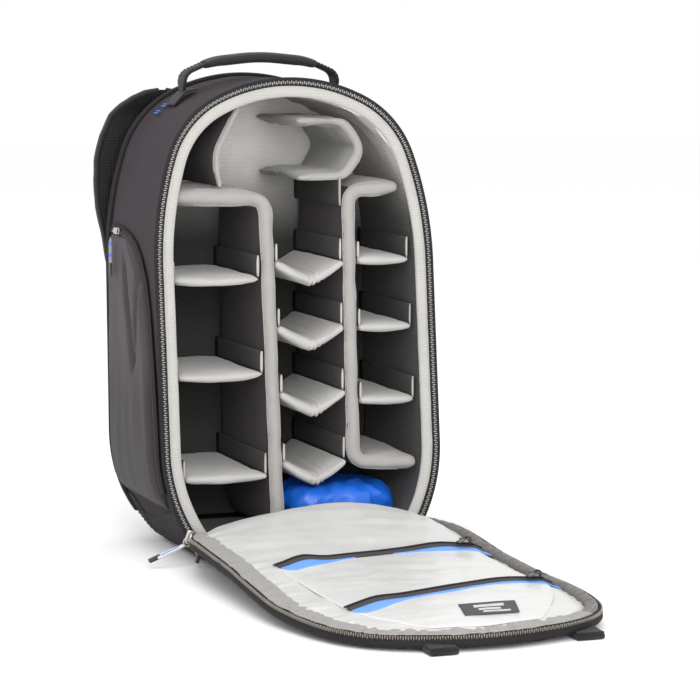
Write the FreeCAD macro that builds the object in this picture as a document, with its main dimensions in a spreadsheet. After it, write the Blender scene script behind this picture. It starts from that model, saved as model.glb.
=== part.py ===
import FreeCAD, Part
import math
import os
import Sketcher

# Opening-front camera backpack, standing on its base with the lid folded down in front of it.
# Frame: millimetres, +Z up, the opening faces -Y, origin at the middle of the base's front edge.
# The bag is a padded tub.  Its front rim leans back and so does its back panel, by less, so the bag is
# deeper at the base than at the crown.  Everything inside it is a straight run along Y.

V = FreeCAD.Vector
doc = FreeCAD.newDocument("camera_backpack")

# ---------------------------------------------------------------- driving dimensions
DIMENSIONS = [
    ("rim_half_width", 145.0, "zip line, half width where the sides are straight"),
    ("side_top", 297.3, "height where the straight sides end"),
    ("upper_radius", 348.8, "first arc of the shoulder"),
    ("upper_turn", 18.27, "degrees turned by that arc"),
    ("shoulder_radius", 97.7, "second, tighter arc of the shoulder"),
    ("shoulder_turn", 44.86, "degrees turned by that arc"),
    ("flare_radius", 163.3, "arc that narrows the bag towards its base"),
    ("flare_turn", 30.5, "degrees turned by that arc"),
    ("flare_top", 112.5, "height where the narrowing starts"),
    ("base_corner_radius", 24.0, "corner between side and base, at the zip line"),
    ("base_line", 4.0, "height of the base at the zip line"),
    ("skirt", 4.0, "outer fabric stands this far outside the zip line"),
    ("front_lean", 6.4, "degrees the rim leans back"),
    ("back_lean", 1.7, "degrees the back panel leans back"),
    ("lean_height", 30.0, "height at which both leans start"),
    ("base_depth", 197.0, "rim to back piping at that height"),
    ("back_crown", 4.0, "back panel stands behind its piping"),
    ("heel_radius", 69.0, "rounded corner between base and back"),
    ("crown_room", 530.0, "height above everything on the bag"),
    ("half_reach", 240.0, "half of the run of every trimming solid along X"),
    ("reach_back", 360.0, "run of every trimming solid along Y"),
    ("reach_start", -60.0, "where that run starts"),
    ("skin", 2.4, "outer fabric with its backing"),
    ("foam_depth", 16.4, "outside face to the inner face of the foam"),
    ("wall_depth", 18.0, "outside face to the face of the lining"),
    ("floor_height", 23.0, "face of the floor lining"),
    ("boot_top", 47.0, "seam between the base boot and the fabric above"),
    ("foam_front", 3.0, "foam starts behind the rim"),
    ("foam_base_top", 60.0, "top of the base's foam panel, below the walls' panels"),
    ("foam_butt", 0.2, "half the joint between two foam panels"),
    ("sheet_thick", 2.2, "plastic frame sheet"),
    ("sheet_low", 75.0, "lower edge of the frame sheet"),
    ("sheet_high", 430.0, "upper edge of the frame sheet"),
    ("sheet_inset", 16.0, "frame sheet edge inside the zip line"),
    ("tape_thick", 1.2, "zip tape"),
    ("tape_inner", 4.0, "zip tape reaches this far inside the zip line"),
    ("tape_outer", 1.5, "zip tape reaches this far outside it"),
    ("coil_width", 3.0, "zip coil"),
    ("coil_height", 1.6, "zip coil above its tape"),
    ("zip_end", 31.0, "height where the body's zip ends"),
    ("binding_width", 10.0, "light binding inside the tape"),
    ("binding_proud", 1.0, "binding in front of the rim plane"),
    ("piping_size", 4.0, "piping cord"),
    ("piping_end", 76.0, "height where the piping ends"),
    ("divider_front", 8.0, "dividers start this far behind the rim"),
    ("divider_gap", 0.6, "clearance round a divider"),
    ("divider_thick", 14.0, "long padded dividers"),
    ("arm_thick", 16.0, "cross arms of the long dividers"),
    ("left_column", -26.0, "middle of the left long divider"),
    ("right_column_low", 58.0, "middle of the right long divider at its bottom arm"),
    ("right_column_high", 64.0, "the same at its top arm"),
    ("left_arm_height", 366.0, "middle of the left divider's arm"),
    ("right_arm_high", 372.0, "middle of the right divider's top arm"),
    ("right_arm_low", 91.0, "middle of the right divider's bottom arm"),
    ("arm_corner", 20.0, "outside corner of a long divider"),
    ("shelf_thick", 8.0, "shelves and cradles"),
    ("shelf_back", 1.0, "shelf stops in front of the back lining"),
    ("shelf_side_gap", 2.0, "clearance between a side shelf and what is beside it"),
    ("tab_height", 20.0, "hook-and-loop tab standing on a shelf's end"),
    ("tab_thick", 3.0, "that tab's thickness"),
    ("cradle_drop", 20.0, "cradle's middle below its ends"),
    ("thin_divider_thick", 6.0, "thin divider in the crown"),
    ("thin_foot", -76.0, "thin divider's left face at its foot"),
    ("thin_bulge", -80.0, "that face where it bulges most"),
    ("thin_bulge_height", 410.0, "height of that bulge"),
    ("thin_head", -52.0, "that face at the top"),
    ("thin_head_height", 463.0, "height of the top"),
    ("fold_thick", 7.0, "folded divider in the crown"),
    ("fold_ends", 8.0, "free ends of its two leaves"),
    ("fold_shoulder", 64.0, "where its leaves turn towards the point"),
    ("fold_tip", 88.0, "its point"),
    ("fold_tip_height", 413.0, "height of the point"),
    ("fold_top", 446.0, "top of its upper leaf"),
    ("cover_left", -14.0, "rain cover, left side"),
    ("cover_right", 104.0, "rain cover, right side"),
    ("cover_low", 23.6, "rain cover, underside"),
    ("cover_high", 71.0, "rain cover, top"),
    ("cover_front", 14.0, "rain cover, front"),
    ("cover_depth", 110.0, "rain cover along Y"),
    ("cover_round", 18.0, "rain cover's rounding"),
    ("pocket_bulge", 9.0, "side pocket outside the gusset"),
    ("pocket_front", 26.0, "side pocket's front edge behind the rim"),
    ("pocket_rear", 190.0, "side pocket's rear edge"),
    ("pocket_low", 52.0, "side pocket's lower edge"),
    ("pocket_high", 322.0, "side pocket's upper edge"),
    ("pocket_zip_width", 7.0, "side pocket's zip round its front and top"),
    ("pocket_zip_thick", 3.0, "that zip's thickness"),
    ("pocket_slider_depth", 158.0, "side pocket's slider along Y"),
    ("pocket_pull_long", 40.0, "side pocket's hanging pull"),
    ("pocket_pull_thick", 3.0, "that pull's thickness"),
    ("handle_depth", 150.0, "grab handle's middle along Y"),
    ("handle_width", 25.0, "handle webbing"),
    ("handle_thick", 4.0, "handle webbing's thickness"),
    ("handle_half_span", 86.0, "handle's feet either side of the middle"),
    ("handle_foot", 469.5, "height of the handle's rounded feet"),
    ("handle_crown", 513.0, "top of the handle"),
    ("grip_half_length", 62.0, "padded grip, half length"),
    ("grip_thick", 11.0, "padded grip's thickness"),
    ("grip_width", 32.0, "padded grip along Y"),
    ("strap_thick", 12.0, "shoulder strap's padding"),
    ("strap_stand_off", 22.0, "shoulder strap behind the back piping"),
    ("strap_low", 200.0, "shoulder strap's lower end"),
    ("strap_turn", 360.0, "height where the strap leans in towards the bag"),
    ("strap_high", 452.0, "strap meets the back panel, underside"),
    ("strap_top", 474.0, "strap's rear face turns towards the bag"),
    ("strap_join", 470.0, "strap meets the back panel, top side"),
    ("back_pad_thick", 11.0, "back pads"),
    ("pad_outer", 122.0, "back pad, outer side"),
    ("pad_inner", 14.0, "back pad, inner side"),
    ("pad_low", 150.0, "back pad, lower end"),
    ("pad_high", 408.0, "back pad, upper end"),
    ("pad_corner", 26.0, "pads' rounded corners"),
    ("lumbar_half", 90.0, "lumbar pad, half width"),
    ("lumbar_low", 76.0, "lumbar pad, lower edge"),
    ("lumbar_high", 140.0, "lumbar pad, upper edge"),
    ("webbing_width", 25.0, "lower strap webbing"),
    ("webbing_thick", 2.0, "lower strap webbing's thickness"),
    ("webbing_outer", 123.0, "lower strap webbing, outer side"),
    ("webbing_sewn", 62.0, "its sewn lower end"),
    ("webbing_lift", 82.0, "height where it leaves the back panel"),
    ("webbing_bend", 140.0, "height where it turns up towards the buckle"),
    ("buckle_middle", 172.0, "ladder buckle's height"),
    ("buckle_high", 28.0, "ladder buckle's length along the strap"),
    ("buckle_wide", 35.0, "ladder buckle's width"),
    ("buckle_thick", 10.0, "ladder buckle's thickness"),
    ("sternum_height", 318.0, "sternum strap's middle"),
    ("sternum_width", 20.0, "sternum strap's webbing"),
    ("sternum_half", 112.0, "sternum strap, half length"),
    ("sternum_buckle_thick", 7.0, "side-release buckle"),
    ("lid_gap", 7.0, "lid's hinge line in front of the base"),
    ("lid_plane", 22.0, "height of the lid's zip line while it lies open"),
    ("lid_length", 476.0, "lid's zip line at its far end, from the base"),
    ("lid_start", 30.0, "lid's stiff panel starts this far in front of the base"),
    ("lid_skin", 2.0, "lid's outer fabric"),
    ("lid_foam_thick", 16.0, "lid's padding"),
    ("lid_lining_top", 23.0, "face of the lid's lining"),
    ("hinge_strip_half", 108.0, "cloth that bends at the lid's hinge, half width"),
    ("hinge_strip_thick", 2.5, "that cloth's thickness"),
    ("lid_pocket_thick", 0.8, "lid pocket's panel"),
    ("lid_zip_width", 11.0, "lid pocket's zip tape"),
    ("lid_zip_rise", 1.2, "lid pocket's zip above the lining"),
    ("lid_panel_half", 118.0, "half width of the lid's upper pocket"),
    ("lid_panel_narrow", 100.0, "half width of its lower pocket at the far end"),
    ("lid_panel_far", 441.0, "far end of the lower pocket, from the base"),
    ("trim_width", 16.0, "blue trim under each lid zip"),
    ("slider_long", 12.0, "zip slider's length"),
    ("slider_wide", 9.0, "zip slider's width"),
    ("slider_high", 4.0, "zip slider's height"),
    ("pull_long", 26.0, "small pull's length"),
    ("pull_wide", 6.0, "small pull's width"),
    ("pull_thick", 1.4, "small pull's thickness"),
    ("pull_turn", -150.0, "degrees a lid pull is turned from +X"),
    ("lid_slider_high", 3.0, "lid zip slider's height"),
    ("cord_pull_long", 44.0, "main zip's pull"),
    ("dark_pull_long", 18.0, "second main pull, hanging"),
    ("cord_pull_wide", 7.0, "main zip's pull, width"),
    ("cord_pull_thick", 4.0, "main zip's pull, thickness"),
    ("label_side", 30.0, "woven label's middle along X"),
    ("label_far", 411.0, "its middle in front of the base"),
    ("label_long", 58.0, "woven label"),
    ("label_wide", 22.0, "woven label's width"),
    ("label_thick", 1.0, "woven label's thickness"),
    ("lid_tab_long", 26.0, "webbing tab under the lid's far edge"),
    ("lid_tab_thick", 2.4, "that tab's thickness"),
]
sheet = doc.addObject("Spreadsheet::Sheet", "Dims")
for row, (alias, value, note) in enumerate(DIMENSIONS, start=1):
    sheet.set("A%d" % row, note)
    sheet.set("B%d" % row, repr(value))
    sheet.setAlias("B%d" % row, alias)
doc.recompute()


def dim(alias):
    """A driving dimension's value, read from the spreadsheet."""
    return float(getattr(sheet, alias))


# ---------------------------------------------------------------- planes and outlines
def front_line(height, behind=0.0):
    """Y of the leaning rim plane at a height, or of a plane that far behind it."""
    return (height - dim("lean_height")) * math.tan(math.radians(dim("front_lean"))) + behind


def back_line(height, inset=0.0):
    """Y of the back panel's outside face at a height, or of a plane that far inside it."""
    rise = (height - dim("lean_height")) * math.tan(math.radians(dim("back_lean")))
    return dim("base_depth") + rise + dim("back_crown") - inset


def rounded_path(corners):
    """Closed loop of lines and tangent arcs through corners given as (u, v, radius)."""
    count = len(corners)
    runs = []
    for index, (u, v, radius) in enumerate(corners):
        here = V(u, v, 0)
        before = V(corners[index - 1][0], corners[index - 1][1], 0)
        after = V(corners[(index + 1) % count][0], corners[(index + 1) % count][1], 0)
        arriving = (here - before).normalize()
        leaving = (after - here).normalize()
        turn = arriving.getAngle(leaving)
        if radius < 1e-6 or turn < 1e-6:
            runs.append((here, None, here))
            continue
        reach = radius * math.tan(turn / 2)
        inward = (leaving - arriving).normalize()
        middle = here + inward * (radius / math.cos(turn / 2) - radius)
        runs.append((here - arriving * reach, middle, here + leaving * reach))
    path = []
    for index, (start, middle, end) in enumerate(runs):
        if middle is not None:
            path.append(Part.Arc(start, middle, end))
        following = runs[(index + 1) % count][0]
        if end.distanceToPoint(following) > 1e-4:
            path.append(Part.LineSegment(end, following))
    return path


def mirrored_loop(half):
    """Corners of the +X half, from base to crown, completed with their mirror images."""
    left = [(-u, v, radius) for u, v, radius in reversed(half) if u > 0]
    return half + left


def bag_outline(offset, base=None):
    """Front view of the bag at a distance outside the zip line."""
    side = dim("rim_half_width") + offset
    low = (dim("base_line") - offset) if base is None else base
    flare = math.radians(dim("flare_turn"))
    flare_radius = dim("flare_radius") + offset
    flare_corner = dim("flare_top") - flare_radius * math.tan(flare / 2)
    foot = side - (flare_corner - low) * math.tan(flare)
    first = math.radians(dim("upper_turn"))
    second = math.radians(dim("shoulder_turn"))
    upper = dim("upper_radius") + offset
    shoulder = dim("shoulder_radius") + offset
    upper_corner = dim("side_top") + upper * math.tan(first / 2)
    run = upper * math.tan(first / 2) + shoulder * math.tan(second / 2)
    shoulder_x = side - run * math.sin(first)
    shoulder_z = upper_corner + run * math.cos(first)
    bend = shoulder * math.tan(second / 2)
    crown_x = shoulder_x - bend * math.sin(first + second)
    crown_z = shoulder_z + bend * math.cos(first + second)
    crown_turn = math.pi / 2 - first - second
    crown = crown_x / math.sin(crown_turn)
    return mirrored_loop([
        (foot, low, dim("base_corner_radius") + offset),
        (side, flare_corner, flare_radius),
        (side, upper_corner, upper),
        (shoulder_x, shoulder_z, shoulder),
        (0.0, crown_z + crown * math.tan(crown_turn) * math.sin(crown_turn), crown),
    ])


def crown_height(offset):
    """Top of the front view at a distance outside the zip line."""
    first = math.radians(dim("upper_turn"))
    both = first + math.radians(dim("shoulder_turn"))
    upper = dim("upper_radius")
    shoulder = dim("shoulder_radius")
    end_x = dim("rim_half_width") - upper * (1 - math.cos(first))
    end_x -= shoulder * (math.cos(first) - math.cos(both))
    end_z = dim("side_top") + upper * math.sin(first)
    end_z += shoulder * (math.sin(both) - math.sin(first))
    return end_z + end_x / math.cos(both) * (1 - math.sin(both)) + offset


def side_at(height, inset):
    """Half width of the bag, that far inside its outside face, at a height up to its shoulders."""
    low = height < dim("flare_top")
    radius = (dim("flare_radius") if low else dim("upper_radius")) + dim("skirt") - inset
    past = dim("flare_top") - height if low else max(0.0, height - dim("side_top"))
    return dim("rim_half_width") + dim("skirt") - inset - radius + math.sqrt(radius ** 2 - past ** 2)


def tub_profile(front, inset, floor):
    """Side view of the bag: rim plane, base, rounded heel and back.  front None leaves it open."""
    top = dim("crown_room")
    low_front = dim("reach_start") if front is None else front_line(floor, front)
    top_front = dim("reach_start") if front is None else front_line(top, front)
    return [
        (low_front, floor, 0),
        (back_line(floor, inset), floor, dim("heel_radius") - inset),
        (back_line(top, inset), top, 0),
        (top_front, top, 0),
    ]


def leaning_slab(line, near, far, low, high):
    """Side view of a slab that follows the rim plane or the back plane."""
    return [(line(low, near), low, 0), (line(low, far), low, 0),
            (line(high, far), high, 0), (line(high, near), high, 0)]


def rectangle(left, low, right, high, radius=0.0):
    """A rectangle's corners, all with one radius."""
    return [(left, low, radius), (right, low, radius), (right, high, radius), (left, high, radius)]


# ---------------------------------------------------------------- document objects
pieces = []


def keep(label, shape_object):
    """Name an object as one sub-part of the bag."""
    shape_object.Label = label
    pieces.append(shape_object)
    return shape_object


def sketch_of(name, loops, placement):
    """A fixed sketch of one or more closed loops."""
    sketch = doc.addObject("Sketcher::SketchObject", name)
    fill_sketch(sketch, loops)
    sketch.Placement = placement
    return sketch


def fill_sketch(sketch, loops):
    """Draw closed loops and hold each line and arc where it is."""
    for corners in loops:
        sketch.addGeometry(rounded_path(corners), False)
    for index in range(sketch.GeometryCount):
        sketch.addConstraint(Sketcher.Constraint("Block", index))


def prism_y(name, loops):
    """Front-view loops run along Y through the whole bag."""
    turned = FreeCAD.Rotation(V(1, 0, 0), 90)
    sketch = sketch_of(name + "_sketch", loops, FreeCAD.Placement(V(0, 0, 0), turned))
    sketch.setExpression("Placement.Base.y", "Dims.reach_start")
    solid = doc.addObject("Part::Extrusion", name)
    solid.Base = sketch
    solid.DirMode = "Custom"
    solid.Dir = V(0, 1, 0)
    solid.Solid = True
    solid.setExpression("LengthFwd", "Dims.reach_back")
    return solid


def prism_x(name, loops):
    """Side-view loops run along X through the whole bag."""
    turned = FreeCAD.Rotation(V(1, 1, 1), 120)
    sketch = sketch_of(name + "_sketch", loops, FreeCAD.Placement(V(0, 0, 0), turned))
    sketch.setExpression("Placement.Base.x", "-Dims.half_reach")
    solid = doc.addObject("Part::Extrusion", name)
    solid.Base = sketch
    solid.DirMode = "Custom"
    solid.Dir = V(1, 0, 0)
    solid.Solid = True
    solid.setExpression("LengthFwd", "2 * Dims.half_reach")
    return solid


def common(name, first, second):
    """Intersection of two objects."""
    result = doc.addObject("Part::Common", name)
    result.Base = first
    result.Tool = second
    return result


def cut(name, base, tool):
    """One object less another."""
    result = doc.addObject("Part::Cut", name)
    result.Base = base
    result.Tool = tool
    return result


def mirror_x(name, source):
    """Mirror image in the bag's middle plane."""
    result = doc.addObject("Part::Mirroring", name)
    result.Source = source
    result.Normal = V(1, 0, 0)
    return result


def group(name, members):
    """Several separate solids that are one sub-part."""
    result = doc.addObject("Part::Compound", name)
    result.Links = members
    return result


def both_sides(label, left):
    """A sub-part made of a left-hand solid and its mirror image."""
    return keep(label, group(label + "_pair", [left, mirror_x(label + "_mirror", left)]))


def tub(name, front, inset, floor):
    """Solid with the bag's own shape, that far inside its outside face."""
    outline = prism_y(name + "_outline", [bag_outline(dim("skirt") - inset)])
    profile = prism_x(name + "_profile", [tub_profile(front, inset, floor)])
    return common(name, outline, profile)


def ring(name, outer, inner, side_loop):
    """Band between two offsets of the zip line, trimmed by a side view."""
    band = prism_y(name + "_band", [bag_outline(outer), bag_outline(inner)])
    return common(name, band, prism_x(name + "_trim", [side_loop]))


def padded(label, plane, loops, length, origin, edge=0.0):
    """PartDesign body: a sketch on one origin plane, padded, its edges rounded."""
    body = doc.addObject("PartDesign::Body", label + "_body")
    sketch = body.newObject("Sketcher::SketchObject", label + "_sketch")
    base_plane = next(item for item in body.Origin.OriginFeatures if item.Role == plane)
    sketch.AttachmentSupport = [(base_plane, "")]
    sketch.MapMode = "FlatFace"
    fill_sketch(sketch, loops)
    pad = body.newObject("PartDesign::Pad", label + "_pad")
    pad.Profile = sketch
    pad.setExpression("Length", length)
    doc.recompute()
    if edge > 0:
        fillet = body.newObject("PartDesign::Fillet", label + "_fillet")
        fillet.Base = (pad, ["Edge%d" % (index + 1) for index in range(len(pad.Shape.Edges))])
        fillet.Radius = edge
    body.Placement = FreeCAD.Placement(V(*origin), FreeCAD.Rotation())
    return body


# ---------------------------------------------------------------- padded tub
skin = dim("skin")
outside = tub("outside", 0.0, 0.0, 0.0)
inside_skin = tub("inside_skin", None, skin, skin)
skin_tub = cut("skin_tub", outside, inside_skin)

boot_zone = rectangle(dim("reach_start"), -10, dim("reach_back"), dim("boot_top"))
keep("base_boot", common("base_boot_trim", skin_tub, prism_x("boot_zone", [boot_zone])))

seam_inset = 12.0
gusset_zone = [
    (dim("reach_start"), dim("boot_top"), 0),
    (back_line(dim("boot_top"), seam_inset), dim("boot_top"), 0),
    (back_line(dim("crown_room"), seam_inset), dim("crown_room"), 0),
    (dim("reach_start"), dim("crown_room"), 0),
]
keep("side_gusset", common("side_gusset_trim", skin_tub, prism_x("gusset_zone", [gusset_zone])))
back_zone = leaning_slab(back_line, seam_inset, -20, dim("boot_top"), dim("crown_room"))
keep("back_panel", common("back_panel_trim", skin_tub, prism_x("back_zone", [back_zone])))

sheet_zone = leaning_slab(back_line, skin + dim("sheet_thick"), skin, dim("sheet_low"), dim("sheet_high"))
sheet_outline = prism_y("sheet_outline", [bag_outline(-dim("sheet_inset"))])
frame_sheet = common("frame_sheet_trim", sheet_outline, prism_x("sheet_zone", [sheet_zone]))
keep("frame_sheet", frame_sheet)

foam_outside = tub("foam_outside", dim("foam_front"), skin, skin)
lining_step = dim("wall_depth") - dim("foam_depth")
foam_floor = dim("floor_height") - lining_step
foam_inside = tub("foam_inside", None, dim("foam_depth"), foam_floor)
foam_tub = cut("foam_tub", foam_outside, foam_inside)
foam_whole = cut("foam_whole", foam_tub, frame_sheet)
butt = dim("foam_butt")
base_top = dim("foam_base_top")
crown_foot = dim("side_top")


def foam_panel(name, left, right, side_loop):
    """One foam panel: the tub's foam between two sides and inside a side view."""
    front_view = prism_y(name + "_front", [rectangle(left, -20, right, dim("crown_room"))])
    zone = common(name + "_zone", front_view, prism_x(name + "_side", [side_loop]))
    return common(name, foam_whole, zone)


def before_back(low, high):
    """Side view of everything in front of the back panel's foam, between two heights."""
    inset = dim("foam_depth") + butt
    return [(dim("reach_start"), low, 0), (back_line(low, inset), low, 0),
            (back_line(high, inset), high, 0), (dim("reach_start"), high, 0)]


base_side = rectangle(dim("reach_start"), -10, dim("reach_back"), base_top - butt)
back_side = leaning_slab(back_line, dim("foam_depth"), -20, base_top, dim("crown_room"))
reach = dim("half_reach")
foam_panels = [
    foam_panel("foam_base", -reach, reach, base_side),
    foam_panel("foam_back", -reach, reach, back_side),
]
for name, left, right in (("left", -reach, -butt), ("right", butt, reach)):
    foam_panels.append(foam_panel("foam_" + name, left, right, before_back(base_top, crown_foot - butt)))
    crown_side = before_back(crown_foot, dim("crown_room"))
    foam_panels.append(foam_panel("foam_crown_" + name, left, right, crown_side))
keep("wall_foam", group("foam_panels", foam_panels))

lining_outside = tub("lining_outside", dim("foam_front"), dim("foam_depth"), foam_floor)
lining_inside = tub("lining_inside", None, dim("wall_depth"), dim("floor_height"))
lining_tub = cut("lining_tub", lining_outside, lining_inside)
heel_top = dim("heel_radius") + dim("skirt")
lining_back_zone = leaning_slab(back_line, dim("wall_depth"), 0, heel_top, dim("crown_room"))
lining_back = prism_x("lining_back_zone", [lining_back_zone])
keep("back_lining", common("back_lining_trim", lining_tub, lining_back))
keep("wall_lining", cut("wall_lining_cut", lining_tub, lining_back))

# ---------------------------------------------------------------- rim: zip tape, coil, binding; piping
crown_room = dim("crown_room")
tape_front = 0.2
tape_zone = leaning_slab(front_line, tape_front, tape_front + dim("tape_thick"), dim("zip_end"), crown_room)
keep("body_zip_tape", ring("body_zip_tape_ring", dim("tape_outer"), -dim("tape_inner"), tape_zone))
coil_zone = leaning_slab(front_line, tape_front - dim("coil_height"), tape_front, dim("zip_end"), crown_room)
keep("body_zip_coil", ring("body_zip_coil_ring", dim("coil_width") / 2, -dim("coil_width") / 2, coil_zone))
binding_low = dim("floor_height")
binding_zone = leaning_slab(front_line, -dim("binding_proud"), dim("foam_front"), binding_low, crown_room)
binding_inner = dim("tape_inner") + dim("binding_width")
keep("rim_binding", ring("rim_binding_ring", -dim("tape_inner"), -binding_inner, binding_zone))
piping_zone = leaning_slab(back_line, dim("back_crown") + dim("piping_size") / 2,
                           dim("back_crown") - dim("piping_size") / 2, dim("piping_end"), crown_room)
keep("back_piping", ring("back_piping_ring", dim("skirt") + dim("piping_size"), dim("skirt"), piping_zone))

# ---------------------------------------------------------------- long dividers and crown dividers
gap = dim("divider_gap")
bay_inset = dim("wall_depth") + gap
bay = tub("bay", dim("divider_front"), bay_inset, dim("floor_height") + gap)
half_thick = dim("divider_thick") / 2
half_arm = dim("arm_thick") / 2
far_side = dim("rim_half_width")
corner = dim("arm_corner")
inner_corner = 6.0
left_face = dim("left_column") - half_thick
left_far_face = dim("left_column") + half_thick
arm_low = dim("left_arm_height") - half_arm
arm_high = dim("left_arm_height") + half_arm
left_long = [
    (left_face, 0, 0),
    (left_far_face, 0, 0),
    (left_far_face, arm_high, corner),
    (-far_side, arm_high, 0),
    (-far_side, arm_low, 0),
    (left_face, arm_low, inner_corner),
]
keep("left_long_divider", common("left_long_trim", prism_y("left_long", [left_long]), bay))


def right_column(height):
    """Middle of the right long divider, which leans a little towards the side."""
    span = dim("right_arm_high") - dim("right_arm_low")
    share = (height - dim("right_arm_low")) / span
    return dim("right_column_low") + share * (dim("right_column_high") - dim("right_column_low"))


low_under = dim("right_arm_low") - half_arm
low_over = dim("right_arm_low") + half_arm
high_under = dim("right_arm_high") - half_arm
high_over = dim("right_arm_high") + half_arm
right_long = [
    (right_column(low_under) - half_thick, low_under, corner),
    (far_side, low_under, 0),
    (far_side, low_over, 0),
    (right_column(low_over) + half_thick, low_over, inner_corner),
    (right_column(high_under) + half_thick, high_under, inner_corner),
    (far_side, high_under, 0),
    (far_side, high_over, 0),
    (right_column(high_over) - half_thick, high_over, corner),
]
keep("right_long_divider", common("right_long_trim", prism_y("right_long", [right_long]), bay))

thin = dim("thin_divider_thick")
thin_low = arm_high + gap
thin_top = dim("thin_head_height")
thin_bend = 46.0
crown_left = [
    (dim("thin_foot"), thin_low, 0),
    (dim("thin_foot") + thin, thin_low, 0),
    (dim("thin_bulge") + thin, dim("thin_bulge_height"), thin_bend - thin),
    (dim("thin_head") + thin, thin_top - thin / 2, 0),
    (dim("thin_head"), thin_top, 0),
    (dim("thin_bulge"), dim("thin_bulge_height"), thin_bend),
]
keep("crown_left_divider", common("crown_left_trim", prism_y("crown_left", [crown_left]), bay))

fold = dim("fold_thick")
fold_low = high_over + 1.0
fold_top = dim("fold_top")
fold_ends = dim("fold_ends")
fold_outer = dim("fold_shoulder")
fold_inner = fold_outer - 4.0
tip_inner = dim("fold_tip") - 1.3 * fold
crown_fold = [
    (fold_ends, fold_low, 0),
    (fold_outer, fold_low, 10),
    (dim("fold_tip"), dim("fold_tip_height"), 12),
    (fold_outer, fold_top, 10),
    (fold_ends, fold_top, 0),
    (fold_ends, fold_top - fold, 0),
    (fold_inner, fold_top - fold, 5),
    (tip_inner, dim("fold_tip_height"), 6),
    (fold_inner, fold_low + fold, 5),
    (fold_ends, fold_low + fold, 0),
]
keep("crown_folded_divider", common("crown_fold_trim", prism_y("crown_fold", [crown_fold]), bay))

# ---------------------------------------------------------------- shelves and cradles
def shelf_loop(left, right, drop):
    """Front view of a shelf with a standing tab at each end; drop lowers the middle of a cradle."""
    thick = dim("shelf_thick")
    tab = dim("tab_thick")
    rise = dim("tab_height")
    middle = (left + right) / 2
    under = [(left, 0, 0), (middle, -drop, 8 if drop else 0), (right, 0, 0)]
    over = [(right - tab, thick, 1), (middle, thick - drop, 6 if drop else 0), (left + tab, thick, 1)]
    if not drop:
        under.pop(1)
        over.pop(1)
    return (under + [(right, thick + rise, 1), (right - tab, thick + rise, 1)] + over
            + [(left + tab, thick + rise, 1), (left, thick + rise, 1)])


def make_shelf(label, left, right, height, drop=0.0):
    """Padded shelf from the back lining to just behind the rim plane."""
    top = height + dim("shelf_thick") + dim("tab_height")
    rear = back_line(height - drop, dim("wall_depth") + dim("shelf_back"))
    front = front_line(top, dim("divider_front"))
    body = padded(label, "XZ_Plane", [shelf_loop(left, right, drop)], "%r mm" % (rear - front),
                  (0, rear, height))
    keep(label, body)


LEFT_SHELVES = [284.0, 187.0, 84.0]
CENTRE_CRADLES = [299.0, 233.0, 166.0, 96.0]
RIGHT_SHELVES = [299.0, 230.0, 155.0]
half_shelf = dim("shelf_thick") / 2


def beside_wall(under):
    """Half width that a shelf and its tab may reach beside the side lining."""
    tab_top = under + dim("shelf_thick") + dim("tab_height")
    nearest = min(side_at(under, dim("wall_depth")), side_at(tab_top, dim("wall_depth")))
    return nearest - dim("shelf_side_gap")


for number, height in enumerate(LEFT_SHELVES, start=1):
    under = height - half_shelf
    make_shelf("left_shelf_%d" % number, -beside_wall(under), left_face - dim("shelf_side_gap"), under)
for number, height in enumerate(CENTRE_CRADLES, start=1):
    under = height - half_shelf
    right_end = right_column(under) - half_thick - gap
    make_shelf("centre_cradle_%d" % number, left_far_face + gap, right_end, under, dim("cradle_drop"))
for number, height in enumerate(RIGHT_SHELVES, start=1):
    under = height - half_shelf
    tab_top = under + dim("shelf_thick") + dim("tab_height")
    left_end = right_column(tab_top) + half_thick + gap
    make_shelf("right_shelf_%d" % number, left_end, beside_wall(under), under)

# ---------------------------------------------------------------- rain cover, packed under the dividers
cover = doc.addObject("Part::Box", "rain_cover_box")
cover.setExpression("Length", "Dims.cover_right - Dims.cover_left")
cover.setExpression("Width", "Dims.cover_depth")
cover.setExpression("Height", "Dims.cover_high - Dims.cover_low")
cover.setExpression("Placement.Base.x", "Dims.cover_left")
cover.setExpression("Placement.Base.y", "Dims.cover_front")
cover.setExpression("Placement.Base.z", "Dims.cover_low")
cover_fillet = doc.addObject("Part::Fillet", "rain_cover_fillet")
cover_fillet.Base = cover
cover_fillet.Edges = [(index, dim("cover_round"), dim("cover_round")) for index in range(1, 13)]
keep("rain_cover", cover_fillet)

# ---------------------------------------------------------------- side pockets
front_edge = dim("pocket_front")
pocket_loop = [
    (front_line(dim("pocket_low"), front_edge), dim("pocket_low"), 14),
    (dim("pocket_rear"), dim("pocket_low"), 14),
    (dim("pocket_rear"), dim("pocket_high"), 10),
    (front_line(dim("pocket_high"), front_edge), dim("pocket_high"), 90),
]
zip_width = dim("pocket_zip_width")
zip_low = dim("pocket_low") + 18.0
zip_loop = [
    (front_line(zip_low, front_edge - zip_width), zip_low, 0),
    (dim("pocket_rear"), zip_low, 0),
    (dim("pocket_rear"), dim("pocket_high") + zip_width, 10),
    (front_line(dim("pocket_high"), front_edge - zip_width), dim("pocket_high") + zip_width, 97),
]
side_zone = rectangle(-200, 10, -100, 400)
skirt = dim("skirt")
pocket_band = prism_y("pocket_band", [bag_outline(skirt + dim("pocket_bulge")), bag_outline(skirt)])
left_band = common("left_pocket_band", pocket_band, prism_y("left_side_zone", [side_zone]))
pocket_solid = prism_x("pocket_solid", [pocket_loop])
left_pocket = common("left_pocket_trim", left_band, pocket_solid)
zip_outer = prism_y("zip_outer", [bag_outline(skirt + dim("pocket_zip_thick")), bag_outline(skirt)])
left_zip_band = common("left_zip_band", zip_outer, prism_y("left_zip_zone", [side_zone]))
left_zip_full = common("left_zip_full", left_zip_band, prism_x("zip_solid", [zip_loop]))
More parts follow.
